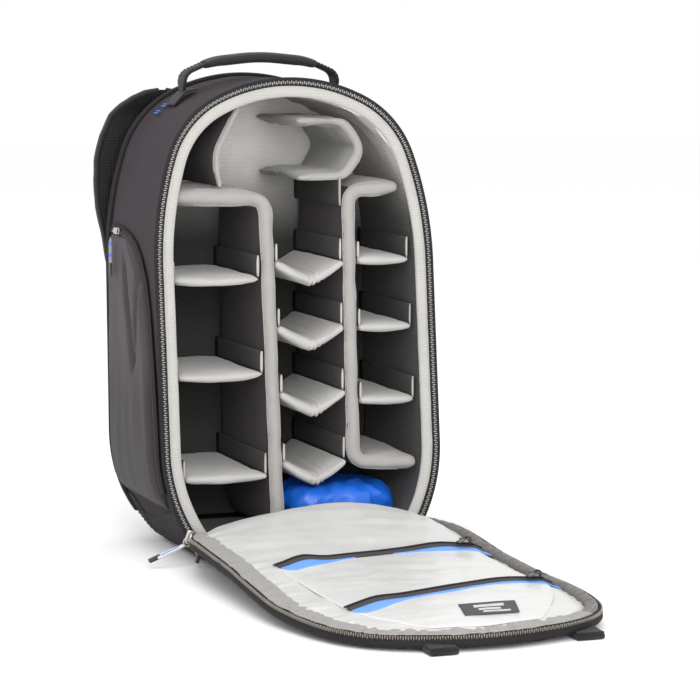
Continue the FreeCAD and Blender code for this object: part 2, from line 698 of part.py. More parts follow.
left_pocket_zip = cut("left_pocket_zip_cut", left_zip_full, pocket_solid)
keep("left_side_pocket", left_pocket)
keep("right_side_pocket", mirror_x("right_pocket_mirror", left_pocket))
both_sides("side_pocket_zips", left_pocket_zip)

# ---------------------------------------------------------------- grab handle
def handle_loop(thick, half_length=None):
    """Front view of the flat arch of the handle, or of a stretch of it round the middle."""
    crown = dim("handle_crown") - (dim("grip_thick") - thick) / 2
    foot = dim("handle_foot")
    span = dim("handle_half_span")
    shoulder = crown - 18.0
    outer = [(span, foot, 0), (span, shoulder, 12), (58.0, crown - 4.0, 60), (0.0, crown, 400)]
    inner = [(0.0, crown - thick, 400 - thick), (58.0 - thick / 4, crown - 4.0 - thick, 60 - thick),
             (span - thick, shoulder - thick / 2, 12 - thick / 2), (span - thick, foot, 0)]
    left_outer = [(-u, v, radius) for u, v, radius in reversed(outer) if u > 0]
    left_inner = [(-u, v, radius) for u, v, radius in reversed(inner) if u > 0]
    return outer + left_outer + left_inner + inner


webbing_loop = handle_loop(dim("handle_thick"))
half_webbing = dim("handle_width") / 2
webbing_front = dim("handle_depth") - half_webbing
webbing_rear = dim("handle_depth") + half_webbing
webbing_arch = padded("webbing_arch", "XZ_Plane", [webbing_loop], "Dims.handle_width", (0, webbing_rear, 0))
foot = dim("handle_foot")
foot_loop = [(webbing_front, foot, half_webbing - 0.01), (webbing_rear, foot, half_webbing - 0.01),
             (webbing_rear, 540, 0), (webbing_front, 540, 0)]
keep("grab_handle_webbing", common("grab_handle_trim", webbing_arch, prism_x("handle_feet", [foot_loop])))
grip_rear = dim("handle_depth") + dim("grip_width") / 2
half_grip = dim("grip_half_length")
grip_top = dim("handle_crown")
grip_end = grip_top - 6.0
grip_loop = [
    (half_grip, grip_end - dim("grip_thick"), 2), (half_grip, grip_end, 2), (0.0, grip_top, 300),
    (-half_grip, grip_end, 2), (-half_grip, grip_end - dim("grip_thick"), 2),
    (0.0, grip_top - dim("grip_thick"), 280),
]
grip_block = padded("grip_block", "XZ_Plane", [grip_loop], "Dims.grip_width", (0, grip_rear, 0))
grip_bore = padded("grip_bore", "XZ_Plane", [webbing_loop], "Dims.handle_width", (0, webbing_rear, 0))
keep("grab_handle_grip", cut("grab_handle_grip_cut", grip_block, grip_bore))

# ---------------------------------------------------------------- back pads, shoulder straps
pad_round = dim("pad_corner")
half_lumbar = dim("lumbar_half")
pad_loop = rectangle(-dim("pad_outer"), dim("pad_low"), -dim("pad_inner"), dim("pad_high"), pad_round)
lumbar_loop = rectangle(-half_lumbar, dim("lumbar_low"), half_lumbar, dim("lumbar_high"), pad_round)
pad_slab_loop = leaning_slab(back_line, 0.0, -dim("back_pad_thick"), dim("boot_top"), crown_room)
pad_slab = prism_x("pad_slab", [pad_slab_loop])
left_pad = common("left_pad_trim", prism_y("left_pad", [pad_loop]), pad_slab)
lumbar_pad = common("lumbar_trim", prism_y("lumbar", [lumbar_loop]), pad_slab)
keep("back_pads", group("back_pads_group", [left_pad, mirror_x("right_pad", left_pad), lumbar_pad]))


def strap_run(height):
    """Y of the shoulder strap's front face at a height."""
    return back_line(height) - dim("back_crown") + dim("strap_stand_off")


strap = dim("strap_thick")
low = dim("strap_low")
turn = dim("strap_turn")
high = dim("strap_high")
top = dim("strap_top")
lean_in = 4.0
bow_out = 2.0
strap_side = [
    (back_line(high), high, 0),
    (strap_run(high) - lean_in, high - lean_in, 12),
    (strap_run(turn) + bow_out, turn, 120),
    (strap_run(low), low, 0),
    (strap_run(low) + strap, low, 0),
    (strap_run(turn) + bow_out + strap, turn, 120 + strap),
    (strap_run(high) - lean_in + strap, top, 18),
    (back_line(dim("strap_join")), dim("strap_join"), 0),
]
STRAP_OUTLINE = [
    (-92, low, 10), (-132, low, 10), (-134, 285, 60), (-158, 375, 70), (-126, top + 2, 26),
    (-50, top + 2, 14), (-62, 420, 60), (-98, turn, 80), (-86, 270, 60),
]
strap_solid = common("left_strap_trim", prism_x("strap_side", [strap_side]),
                     prism_y("strap_outline", [STRAP_OUTLINE]))
both_sides("shoulder_straps", strap_solid)

web = dim("webbing_thick")
web_clear = 0.3
sewn = dim("webbing_sewn")
lift = dim("webbing_lift")
bend = dim("webbing_bend")
web_top = strap_run(low) + 4.0
web_side = [
    (web_top, low - 0.5, 0),
    (web_top + web, low - 0.5, 0),
    (strap_run(bend) + web, bend, 40),
    (back_line(lift, -web_clear - web), lift, 30),
    (back_line(sewn, -web_clear - web), sewn, 0),
    (back_line(sewn, -web_clear), sewn, 0),
    (back_line(lift, -web_clear), lift, 30),
    (strap_run(bend), bend, 40),
]
web_outer = -dim("webbing_outer")
web_loop = rectangle(web_outer, sewn - 2.0, web_outer + dim("webbing_width"), low + 2.0)
left_web = common("left_web_trim", prism_x("web_side", [web_side]), prism_y("web_front", [web_loop]))
both_sides("strap_webbings", left_web)
buckle_middle = web_outer + dim("webbing_width") / 2
half_buckle = dim("buckle_wide") / 2
buckle_low = dim("buckle_middle") - dim("buckle_high") / 2
buckle_top = dim("buckle_middle") + dim("buckle_high") / 2
buckle_loop = rectangle(buckle_middle - half_buckle, buckle_low, buckle_middle + half_buckle, buckle_top, 4)
buckle_rear = strap_run(dim("buckle_middle")) + strap
buckle_block = padded("buckle_block", "XZ_Plane", [buckle_loop], "Dims.buckle_thick",
                      (0, buckle_rear, 0), 1.5)
both_sides("ladder_buckles", cut("left_buckle_cut", buckle_block, left_web))

# ---------------------------------------------------------------- sternum strap, slides on the straps
sternum = dim("sternum_height")
half_tape_high = dim("sternum_width") / 2
half_strap = dim("sternum_half")
sternum_loop = rectangle(-half_strap, -half_tape_high, half_strap, half_tape_high, 2)
sternum_rear = strap_run(sternum) + bow_out + strap + 2.2 + web
keep("sternum_webbing", padded("sternum_webbing", "XZ_Plane", [sternum_loop], "Dims.webbing_thick",
                               (0, sternum_rear, sternum)))
BUCKLE_OUTLINE = [(-22, -13, 4), (24, -13, 4), (30, -9, 4), (30, 9, 4), (24, 13, 4), (-22, 13, 4)]
sternum_buckle_rear = sternum_rear + 0.3 + dim("sternum_buckle_thick")
keep("sternum_buckle", padded("sternum_buckle", "XZ_Plane", [BUCKLE_OUTLINE], "Dims.sternum_buckle_thick",
                              (0, sternum_buckle_rear, sternum), 1.2))

# ---------------------------------------------------------------- main zip's two sliders and pulls
slider_wide = dim("slider_wide")
slider_long = dim("slider_long")
slider_edge = 0.8
MAIN_SLIDERS = [("upper", -126.0, 29.0), ("lower", -113.5, 16.0)]
upright_slider = rectangle(-slider_wide / 2, -slider_long / 2, slider_wide / 2, slider_long / 2, 3)
main_sliders = []
for name, x, z in MAIN_SLIDERS:
    origin = (x, front_line(z, -2.0), z)
    slider = padded("main_slider_" + name, "XZ_Plane", [upright_slider], "Dims.slider_high",
                    origin, slider_edge)
    main_sliders.append(slider)
keep("main_zip_sliders", group("main_sliders", main_sliders))

half_pull = dim("cord_pull_wide") / 2
# name, length, swivel point, degrees turned down from level
MAIN_PULLS = [
    ("main_pull_silver", dim("cord_pull_long"), (-131.5, -5.0, 23.0), 160.0),
    ("main_pull_dark", dim("dark_pull_long"), (-119.5, -13.5, 21.5), 102.0),
]
for label, length, origin, droop in MAIN_PULLS:
    pull_loop = rectangle(0, -half_pull, length, half_pull, 3)
    body = padded(label, "XY_Plane", [pull_loop], "Dims.cord_pull_thick", origin, 1.4)
    body.Placement = FreeCAD.Placement(V(*origin), FreeCAD.Rotation(V(0, 1, 0), droop))
    keep(label, body)

# ---------------------------------------------------------------- side pocket sliders and pulls
pocket_out = dim("rim_half_width") + skirt
flat_slider = rectangle(-slider_long / 2, -slider_wide / 2, slider_long / 2, slider_wide / 2, 3)
slider_depth = dim("pocket_slider_depth")
slider_z = dim("pocket_high") + zip_width / 2 + 1.5
slider_start = -(pocket_out + dim("pocket_zip_thick") + 0.4 + dim("slider_high"))
left_slider = padded("left_pocket_slider", "YZ_Plane", [flat_slider], "Dims.slider_high",
                     (slider_start, slider_depth, slider_z), slider_edge)
both_sides("side_pocket_sliders", left_slider)
hang_loop = rectangle(-half_pull, -dim("pocket_pull_long"), half_pull, 0, 3)
hang_start = -(pocket_out + dim("pocket_bulge") + 4.0)
left_hang = padded("left_pocket_pull", "YZ_Plane", [hang_loop], "Dims.pocket_pull_thick",
                   (hang_start, slider_depth, slider_z - 6.5), 1.0)
keep("left_pocket_pull", left_hang)
keep("right_pocket_pull", mirror_x("right_pull_mirror", left_hang))

# ---------------------------------------------------------------- lid, lying open in front of the base
def lid_slab(name, offset, low, high, start):
    """A flat piece with the lid's outline, from one height to another."""
    turned = FreeCAD.Placement(V(0, 0, 0), FreeCAD.Rotation(V(1, 0, 0), 180))
    sketch = sketch_of(name + "_sketch", [bag_outline(offset)], turned)
    sketch.Placement.Base = V(0, lid_shift, low)
    solid = doc.addObject("Part::Extrusion", name + "_full")
    solid.Base = sketch
    solid.DirMode = "Custom"
    solid.Dir = V(0, 0, 1)
    solid.Solid = True
    solid.LengthFwd = high - low
    zone = doc.addObject("Part::Box", name + "_zone")
    zone.setExpression("Length", "2 * Dims.half_reach")
    zone.setExpression("Width", "Dims.crown_room")
    zone.setExpression("Height", "Dims.half_reach")
    zone.Placement.Base = V(-dim("half_reach"), -dim("crown_room") - start, low)
    return common(name + "_slab", solid, zone)


lid_shift = crown_height(0.0) - dim("lid_length")
start = dim("lid_start")
lid_plane = dim("lid_plane")
lid_skin = dim("lid_skin")
lid_outside = lid_slab("lid_outside", skirt, 0.0, lid_plane - 0.2, start)
lid_hollow = lid_slab("lid_hollow", skirt - lid_skin, lid_skin, lid_plane + 5.0, start - 5.0)
keep("lid_shell", cut("lid_shell_cut", lid_outside, lid_hollow))
foam_top = lid_skin + 0.1 + dim("lid_foam_thick")
keep("lid_padding", lid_slab("lid_padding", skirt - lid_skin - 0.2, lid_skin + 0.1, foam_top, start + 1.0))
lining_top = dim("lid_lining_top")
keep("lid_lining", lid_slab("lid_lining", -binding_inner - 0.2, foam_top + 0.1, lining_top, start + 1.0))


def lid_ring(name, outer, inner, low, high, ring_start):
    """A flat band round the lid's edge."""
    return cut(name + "_cut", lid_slab(name, outer, low, high, ring_start),
               lid_slab(name + "_hole", inner, low - 1.0, high + 1.0, ring_start - 5.0))


keep("lid_zip_tape", lid_ring("lid_zip_tape", dim("tape_outer"), -dim("tape_inner"),
                              lid_plane - dim("tape_thick"), lid_plane, start + 4.0))
keep("lid_zip_coil", lid_ring("lid_zip_coil", dim("coil_width") / 2, -dim("coil_width") / 2,
                              lid_plane, lid_plane + dim("coil_height"), start + 4.0))
keep("lid_binding", lid_ring("lid_binding", -dim("tape_inner") - 0.1, -binding_inner,
                             foam_top + 0.1, lid_plane + dim("binding_proud"), start + 1.0))
half_strip = dim("hinge_strip_half")
strip_loop = rectangle(-half_strip, 0.3 - start, half_strip, -1.2)
keep("lid_hinge_strip", padded("lid_hinge_strip", "XY_Plane", [strip_loop], "Dims.hinge_strip_thick",
                               (0, 0, lid_plane - 6.0)))

# ---------------------------------------------------------------- lid pockets, zips, trims, label, tabs
pocket_top = lining_top + dim("lid_pocket_thick")
zip_top = lining_top + dim("lid_zip_rise")
half_tape = dim("lid_zip_width") / 2
trim_far = half_tape + dim("trim_width")
# each zip runs a little askew across the lid: name, middle, half length, degrees turned
LID_ZIPS = [("upper", V(5.0, -193.0, 0), 118.0, 16.0), ("lower", V(16.5, -345.5, 0), 113.0, 15.5)]


def across_lid(middle, turn, along, height):
    """Placement on a lid zip's line, that far from its middle, turned like the zip."""
    turned = FreeCAD.Rotation(V(0, 0, 1), turn)
    return FreeCAD.Placement(middle + turned.multVec(V(along, 0, 0)) + V(0, 0, height), turned)


def beside_zip(zip_spec, x, offset):
    """Corner of a pocket panel: on a line beside a lid zip, at a distance across it."""
    middle, turn = zip_spec[1], math.radians(zip_spec[3])
    return (x, middle.y + (x - middle.x) * math.tan(turn) + offset / math.cos(turn), 2)


origin = (0, 0, 0)
on_lining = lining_top + 0.05
pull_long = dim("pull_long")
half_tag = dim("pull_wide") / 2
tag_loop = [(-1, -half_tag, 2), (pull_long, -half_tag, 2), (pull_long, half_tag, 2), (-1, half_tag, 2)]
lid_tapes = []
lid_trims = []
for name, middle, half, turn in LID_ZIPS:
    tape_loop = rectangle(-half, -half_tape, half, half_tape, 1)
    tape = padded(name + "_lid_tape", "XY_Plane", [tape_loop], "Dims.lid_zip_rise", origin)
    tape.Placement = across_lid(middle, turn, 0, on_lining)
    lid_tapes.append(tape)
    trim_loop = rectangle(-half, -trim_far, half, -half_tape - 0.2, 1)
    trim = padded(name + "_lid_trim", "XY_Plane", [trim_loop], "Dims.lid_pocket_thick", origin)
    trim.Placement = across_lid(middle, turn, 0, on_lining)
    lid_trims.append(trim)
    label = name + "_lid_slider"
    slider = padded(label, "XY_Plane", [flat_slider], "Dims.lid_slider_high", origin, 0.7)
    slider.Placement = across_lid(middle, turn, half - 10.0, zip_top + 0.35)
    keep(label, slider)
    label = name + "_lid_pull"
    pull = padded(label, "XY_Plane", [tag_loop], "Dims.pull_thick", origin, 0.5)
    pull_at = across_lid(middle, turn, half - 10.0, zip_top + 3.7).Base
    pull.Placement = FreeCAD.Placement(pull_at, FreeCAD.Rotation(V(0, 0, 1), turn + dim("pull_turn")))
    keep(label, pull)
keep("lid_pocket_zips", group("lid_tapes", lid_tapes))
keep("lid_pocket_trims", group("lid_trims", lid_trims))

upper_zip, lower_zip = LID_ZIPS
panel_half = dim("lid_panel_half")
below_trim = -trim_far - 0.4
upper_panel = [
    beside_zip(lower_zip, -panel_half, half_tape + 0.4),
    beside_zip(lower_zip, panel_half, half_tape + 0.4),
    beside_zip(upper_zip, panel_half, below_trim),
    beside_zip(upper_zip, -panel_half, below_trim),
]
keep("lid_mesh_pocket", padded("lid_mesh_pocket", "XY_Plane", [upper_panel], "Dims.lid_pocket_thick",
                               (0, 0, on_lining)))
narrow = dim("lid_panel_narrow")
lower_panel = [
    (-narrow, -dim("lid_panel_far"), 30),
    (narrow, -dim("lid_panel_far"), 46),
    beside_zip(lower_zip, panel_half - 2.0, below_trim),
    beside_zip(lower_zip, -narrow, below_trim),
]
keep("lid_flat_pocket", padded("lid_flat_pocket", "XY_Plane", [lower_panel], "Dims.lid_pocket_thick",
                               (0, 0, on_lining)))
half_label = dim("label_long") / 2
half_label_wide = dim("label_wide") / 2
label_loop = rectangle(-half_label, -half_label_wide, half_label, half_label_wide, 2)
label_at = (dim("label_side"), -dim("label_far"), pocket_top + 0.1)
keep("lid_label", padded("lid_label", "XY_Plane", [label_loop], "Dims.label_thick", label_at))

half_tab = dim("lid_tab_long") / 2
# middle along X, far end in front of the base
LID_TABS = [(-52.0, 484.0), (88.0, 471.0)]
tabs = []
for number, (x, far) in enumerate(LID_TABS, start=1):
    tab_loop = rectangle(x - half_tab, -far, x + half_tab, 40.0 - far, 2)
    tabs.append(padded("lid_tab_%d" % number, "XY_Plane", [tab_loop], "Dims.lid_tab_thick", (0, 0, 0)))
tab_group = group("lid_tab_group", tabs)
keep("lid_webbing_tabs", cut("lid_tabs_cut", tab_group, lid_outside))

# ---------------------------------------------------------------- checks, then one STEP file per sub-part
doc.recompute()
os.makedirs("parts", exist_ok=True)
for item in doc.Objects:
    if "Invalid" in item.State or "Error" in item.State:
        raise RuntimeError("%s did not build: %s" % (item.Label, item.State))
for item in pieces:
    if item.Shape.isNull() or not item.Shape.isValid() or not item.Shape.Solids:
        raise RuntimeError("%s has no valid solid" % item.Label)
for item in pieces:
    item.Shape.exportStep("parts/%s.step" % item.Label)
print("%d sub-parts" % len(pieces))
for item in pieces:
    box = item.Shape.BoundBox
    print("%-24s solids %d vol %9.0f  x %6.1f %6.1f  y %6.1f %6.1f  z %6.1f %6.1f" % (
        item.Label, len(item.Shape.Solids), item.Shape.Volume, box.XMin, box.XMax,
        box.YMin, box.YMax, box.ZMin, box.ZMax))
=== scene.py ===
"""Opening-front camera backpack, standing open with its lid folded down on the floor in front of it.

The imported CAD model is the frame. Every piece here is built in the frame's own millimetres, from the bag's
driving dimensions, and scaled to metres when its mesh is made.
"""

import math

import bmesh
import bpy
import numpy as np
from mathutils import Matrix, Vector, noise
from mathutils.bvhtree import BVHTree


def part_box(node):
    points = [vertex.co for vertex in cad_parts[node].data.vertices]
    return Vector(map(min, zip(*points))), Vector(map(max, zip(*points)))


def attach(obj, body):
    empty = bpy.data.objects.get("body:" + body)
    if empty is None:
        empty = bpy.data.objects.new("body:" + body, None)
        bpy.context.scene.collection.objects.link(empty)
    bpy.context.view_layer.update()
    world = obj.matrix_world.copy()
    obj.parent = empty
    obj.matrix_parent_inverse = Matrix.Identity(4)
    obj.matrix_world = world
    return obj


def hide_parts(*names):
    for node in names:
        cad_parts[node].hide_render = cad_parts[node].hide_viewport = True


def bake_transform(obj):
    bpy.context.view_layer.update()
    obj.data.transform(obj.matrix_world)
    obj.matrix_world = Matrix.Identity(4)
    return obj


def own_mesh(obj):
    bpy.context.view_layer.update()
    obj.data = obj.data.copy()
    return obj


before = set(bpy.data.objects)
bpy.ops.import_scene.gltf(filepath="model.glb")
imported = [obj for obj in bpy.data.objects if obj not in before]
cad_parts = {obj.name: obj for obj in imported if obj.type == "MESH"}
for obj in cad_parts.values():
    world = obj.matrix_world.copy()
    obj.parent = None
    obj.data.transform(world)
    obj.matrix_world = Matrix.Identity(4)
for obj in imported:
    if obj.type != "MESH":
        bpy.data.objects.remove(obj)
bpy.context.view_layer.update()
MM = 0.001
UP, REARWARDS, FORWARDS = (np.array(v, float) for v in ((0, 0, 1), (0, 1, 0), (0, -1, 0)))

# ---------------------------------------------------------------- driving dimensions of the bag
HALF_WIDTH = 145.0          # zip line, where the sides are straight
SIDE_TOP = 297.3            # height where they end
UPPER_RADIUS, UPPER_TURN = 348.8, math.radians(18.27)
SHOULDER_RADIUS, SHOULDER_TURN = 97.7, math.radians(44.86)
FLARE_RADIUS, FLARE_TURN, FLARE_TOP = 163.3, math.radians(30.5), 112.5
BASE_LINE, BASE_CORNER = 4.0, 24.0
FRONT_LEAN, BACK_LEAN = math.tan(math.radians(6.4)), math.tan(math.radians(1.7))
LEAN_HEIGHT, BASE_DEPTH = 30.0, 201.0
SKIRT = 4.0                 # outer fabric outside the zip line
HEEL = 69.0                 # rounding between base and back
WALL = 18.0                 # outside face to lining
FLOOR = 23.0                # face of the floor lining
BOOT_TOP = 47.0
LID_SHIFT = 5.9             # lid's Y is this less the height that it covers when closed
DIVIDER_FRONT = 8.0


def front_y(z, behind=0.0):
    """Y of the leaning rim plane at a height, or of a plane behind it."""
    return (z - LEAN_HEIGHT) * FRONT_LEAN + behind


def back_y(z, inset=0.0):
    """Y of the back panel's outside face at a height, or of a plane inside it."""
    return BASE_DEPTH + (z - LEAN_HEIGHT) * BACK_LEAN - inset


def rounded(corners, step=2.0, closed=True):
    """Polyline through corners (u, v, radius), with an arc at each."""
    run = []
    count = len(corners)
    for index, (u, v, radius) in enumerate(corners):
        here = np.array([u, v], float)
        end = index in (0, count - 1) and not closed
        if radius < 1e-6 or end:
            run.append(here)
            continue
        before = np.array(corners[index - 1][:2], float)
        after = np.array(corners[(index + 1) % count][:2], float)
        arriving = (here - before) / np.linalg.norm(here - before)
        leaving = (after - here) / np.linalg.norm(after - here)
        turn = math.acos(max(-1.0, min(1.0, float(arriving @ leaving))))
        if turn < 1e-6:
            run.append(here)
            continue
        start = here - arriving * radius * math.tan(turn / 2)
        finish = here + leaving * radius * math.tan(turn / 2)
        steps = max(2, int(radius * turn / step) + 1)
        inward = (leaving - arriving) / np.linalg.norm(leaving - arriving)
        centre = here + inward * radius / math.cos(turn / 2)
        first = math.atan2(*(start - centre)[::-1])
        sweep_angle = (math.atan2(*(finish - centre)[::-1]) - first + math.pi) % (2 * math.pi) - math.pi
        for k in range(steps + 1):
            angle = first + sweep_angle * k / steps
            run.append(centre + radius * np.array([math.cos(angle), math.sin(angle)]))
    return np.array(run)


def resample(points, count, closed=False):
    """The same polyline as evenly spaced points."""
    points = np.asarray(points, float)
    if closed:
        points = np.vstack([points, points[:1]])
    lengths = np.r_[0.0, np.cumsum(np.linalg.norm(np.diff(points, axis=0), axis=1))]
    at = np.linspace(0.0, lengths[-1], count + 1 if closed else count)
    if closed:
        at = at[:-1]
    return np.stack([np.interp(at, lengths, points[:, k]) for k in range(points.shape[1])], axis=1)


def outline(offset):
    """Front view (x, z) of the bag that far outside the zip line: right half up over the crown, then left."""
    side, low = HALF_WIDTH + offset, BASE_LINE - offset
    flare = FLARE_RADIUS + offset
    flare_z = FLARE_TOP - flare * math.tan(FLARE_TURN / 2)
    foot = side - (flare_z - low) * math.tan(FLARE_TURN)
    upper, shoulder = UPPER_RADIUS + offset, SHOULDER_RADIUS + offset
    upper_z = SIDE_TOP + upper * math.tan(UPPER_TURN / 2)
    run = upper * math.tan(UPPER_TURN / 2) + shoulder * math.tan(SHOULDER_TURN / 2)
    shoulder_x = side - run * math.sin(UPPER_TURN)
    shoulder_z = upper_z + run * math.cos(UPPER_TURN)
    bend = shoulder * math.tan(SHOULDER_TURN / 2)
    both = UPPER_TURN + SHOULDER_TURN
    crown_x = shoulder_x - bend * math.sin(both)
    crown_z = shoulder_z + bend * math.cos(both)
    crown_turn = math.pi / 2 - both
    crown = crown_x / math.sin(crown_turn)
    half = [
        (foot, low, BASE_CORNER + offset),
        (side, flare_z, flare),
        (side, upper_z, upper),
        (shoulder_x, shoulder_z, shoulder),
        (0.0, crown_z + crown * math.tan(crown_turn) * math.sin(crown_turn), crown),
    ]
    left = [(-u, v, r) for u, v, r in reversed(half) if u > 0]
    return rounded(half + left)


def above(loop, height):
    """The stretch of a closed outline above a height, from the right end over the crown to the left end."""
    dense = resample(loop, 4000, closed=True)
    start = int(np.argmax(dense[:, 0] - 2 * abs(dense[:, 1] - height)))
    dense = np.roll(dense, -start, axis=0)
    if dense[10, 1] < dense[0, 1]:
        dense = np.roll(dense[::-1], 1, axis=0)
    kept = dense[:, 1] >= height
    return dense[kept]


def half_width(offset):
    """Function giving the bag's half width at a height, that far outside the zip line."""
    loop = outline(offset)
    right = loop[loop[:, 0] >= 0]
    right = right[np.argsort(right[:, 1])]
    return lambda z: np.interp(z, right[:, 1], right[:, 0])


def ramp(value, pairs):
    """Value interpolated in a list of (key, value) pairs."""
    pairs = sorted(pairs)
    return np.interp(value, [k for k, _ in pairs], [v for _, v in pairs])


def smooth(value, low, high):
    """0 below low, 1 above high, smooth between."""
    t = np.clip((np.asarray(value, float) - low) / (high - low), 0.0, 1.0)
    return t * t * (3 - 2 * t)


def ripple(points, size, seed=0.0):
    """Smooth noise from -1 to 1 at each point, with features about that size in millimetres."""
    flat = np.asarray(points, float).reshape(-1, 3) / size + seed
    values = np.array([noise.noise(Vector(p)) for p in flat])
    return values.reshape(np.asarray(points).shape[:-1])


# ---------------------------------------------------------------- mesh helpers
def unit(v):
    """Vectors scaled to length 1."""
    v = np.asarray(v, float)
    return v / np.maximum(np.linalg.norm(v, axis=-1, keepdims=True), 1e-9)


def grid_faces(rows, columns, wrap=False, start=0):
    """Quads of a grid of points stored row by row."""
    faces = []
    for i in range(rows - 1):
        for j in range(columns if wrap else columns - 1):
            k = (j + 1) % columns
            faces.append((start + i * columns + j, start + i * columns + k,
                          start + (i + 1) * columns + k, start + (i + 1) * columns + j))
    return faces


def grid_normals(grid, wrap=False):
    """Unit normals of a grid of points."""
    if wrap:
        along = np.roll(grid, -1, axis=1) - np.roll(grid, 1, axis=1)
    else:
        along = np.gradient(grid, axis=1)
    return unit(np.cross(along, np.gradient(grid, axis=0)))


def box_of(node):
    """Lowest and highest corner of a CAD node's box."""
    return [np.array(v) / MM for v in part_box(node)]


def closing_rows(low, high, count):
    """Heights that crowd together towards the crown, where the bag's outline closes."""
    return low + (high - low) * (1 - (1 - np.linspace(0, 1, count)) ** 1.8)


def facing(direction, grid):
    """One unit normal for every point of a grid."""
    return np.broadcast_to(np.asarray(direction, float), grid.shape)


def piece(name, points, faces, looks, body, slot, shown=None, replaces=()):
    """Mesh object in metres with its materials, riding on a body."""
    mesh = bpy.data.meshes.new(name)
    mesh.from_pydata([tuple(p) for p in np.asarray(points, float) * MM], [], faces)
    looks = looks if isinstance(looks, (list, tuple)) else [looks]
    for look in looks:
        mesh.materials.append(look)
    if shown is not None:
        mesh.polygons.foreach_set("material_index", np.asarray(shown, np.int32))
    edit = bmesh.new()
    edit.from_mesh(mesh)
    bmesh.ops.remove_doubles(edit, verts=edit.verts, dist=1e-6)
    bmesh.ops.dissolve_degenerate(edit, edges=edit.edges, dist=1e-7)
    bmesh.ops.recalc_face_normals(edit, faces=edit.faces)
    edit.to_mesh(mesh)
    edit.free()
    for polygon in mesh.polygons:
        polygon.use_smooth = True
    obj = bpy.data.objects.new(name, mesh)
    bpy.context.scene.collection.objects.link(obj)
    if body:
        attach(obj, body)
    if replaces:
        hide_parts(*replaces)
    return obj


def shell(grid, thick, wrap=False, normals=None):
    """Closed sheet of a thickness behind a grid of points: (points, faces)."""
    rows, columns = grid.shape[:2]
    normals = grid_normals(grid, wrap) if normals is None else normals
    points = np.concatenate([grid.reshape(-1, 3), (grid - normals * thick).reshape(-1, 3)])
    size = rows * columns
    faces = grid_faces(rows, columns, wrap)
    faces += [tuple(reversed(f)) for f in grid_faces(rows, columns, wrap, size)]
    span = columns if wrap else columns - 1
    for j in range(span):
        k = (j + 1) % columns
        last = (rows - 1) * columns
        faces.append((k, j, size + j, size + k))
        faces.append((last + j, last + k, size + last + k, size + last + j))
    if not wrap:
        for i in range(rows - 1):
            a, b = i * columns, (i + 1) * columns
            faces.append((a, b, size + b, size + a))
            faces.append((b + columns - 1, a + columns - 1, size + a + columns - 1, size + b + columns - 1))
    return points, faces


def tube(path, ups, section, closed=False, scale=None):
    """Section (side, up) carried along a path, with capped ends: (points, faces)."""
    path = np.asarray(path, float)
    count = len(path)
    ahead = np.roll(path, -1, axis=0) - np.roll(path, 1, axis=0)
    if not closed:
        ahead[0] = path[1] - path[0]
        ahead[-1] = path[-1] - path[-2]
    ahead = unit(ahead)
    ups = np.broadcast_to(np.asarray(ups, float), path.shape)
    sides = unit(np.cross(ahead, ups))
    ups = unit(np.cross(sides, ahead))
    section = np.asarray(section, float)
    sections = np.broadcast_to(section, (count,) + section.shape[-2:]).copy()
    if scale is not None:
        sections = sections * np.asarray(scale, float).reshape(count, 1, -1)
    points = path[:, None, :] + sections[..., 0:1] * sides[:, None, :] + sections[..., 1:2] * ups[:, None, :]
    around = points.shape[1]
    faces = grid_faces(count, around, wrap=True)
    if closed:
        last = (count - 1) * around
        for j in range(around):
            k = (j + 1) % around
            faces.append((last + j, last + k, k, j))
    else:
        faces.append(tuple(range(around - 1, -1, -1)))
        faces.append(tuple(range((count - 1) * around, count * around)))
    return points.reshape(-1, 3), faces


def oval(width, height, count=12, power=2.0):
    """Closed section, an ellipse or, with a higher power, a rounded rectangle."""
    angles = np.linspace(0, 2 * math.pi, count, endpoint=False)
    c, s = np.cos(angles), np.sin(angles)
    return np.stack([width / 2 * np.sign(c) * abs(c) ** (2 / power),
                     height / 2 * np.sign(s) * abs(s) ** (2 / power)], axis=1)


def join(parts):
    """Several (points, faces) as one."""
    points, faces, start = [], [], 0
    for p, f in parts:
        points.append(np.asarray(p, float).reshape(-1, 3))
        faces += [tuple(i + start for i in face) for face in f]
        start += len(points[-1])
    return np.concatenate(points), faces


def block(centre, axes, size, bevel):
    """Small bevelled block, its half size along three axes."""
    edit = bmesh.new()
    bmesh.ops.create_cube(edit, size=1.0)
    bmesh.ops.scale(edit, vec=Vector(size), verts=edit.verts)
    bmesh.ops.bevel(edit, geom=edit.edges[:], offset=bevel, segments=1, affect="EDGES")
    local = np.array([v.co for v in edit.verts])
    edit.verts.index_update()
    faces = [tuple(v.index for v in f.verts) for f in edit.faces]
    edit.free()
    return np.asarray(centre) + local @ np.asarray(axes, float), faces


def copies(template, places, axes):
    """A block repeated at places with their own axes: (points, faces)."""
    local, faces = template
    points = places[:, None, :] + np.einsum("nk,mkj->mnj", local, axes)
    every = [tuple(i + m * len(local) for i in f) for m in range(len(places)) for f in faces]
    return points.reshape(-1, 3), every


def row_of(path, ups, pitch, size, bevel, alternate=0.0):
    """Blocks set along a path at a pitch: zip teeth, stitches."""
    length = np.linalg.norm(np.diff(path, axis=0), axis=1).sum()
    count = max(2, int(length / pitch))
    spots = resample(np.hstack([path, np.broadcast_to(ups, path.shape)]), count)
    places, ups = spots[:, :3], unit(spots[:, 3:])
    ahead = unit(np.gradient(places, axis=0))
    sides = unit(np.cross(ahead, ups))
    ups = unit(np.cross(sides, ahead))
    shift = np.where(np.arange(count) % 2, alternate, -alternate)[:, None]
    template = block((0, 0, 0), np.eye(3), size, bevel)
    return copies(template, places + sides * shift, np.stack([ahead, sides, ups], axis=1))


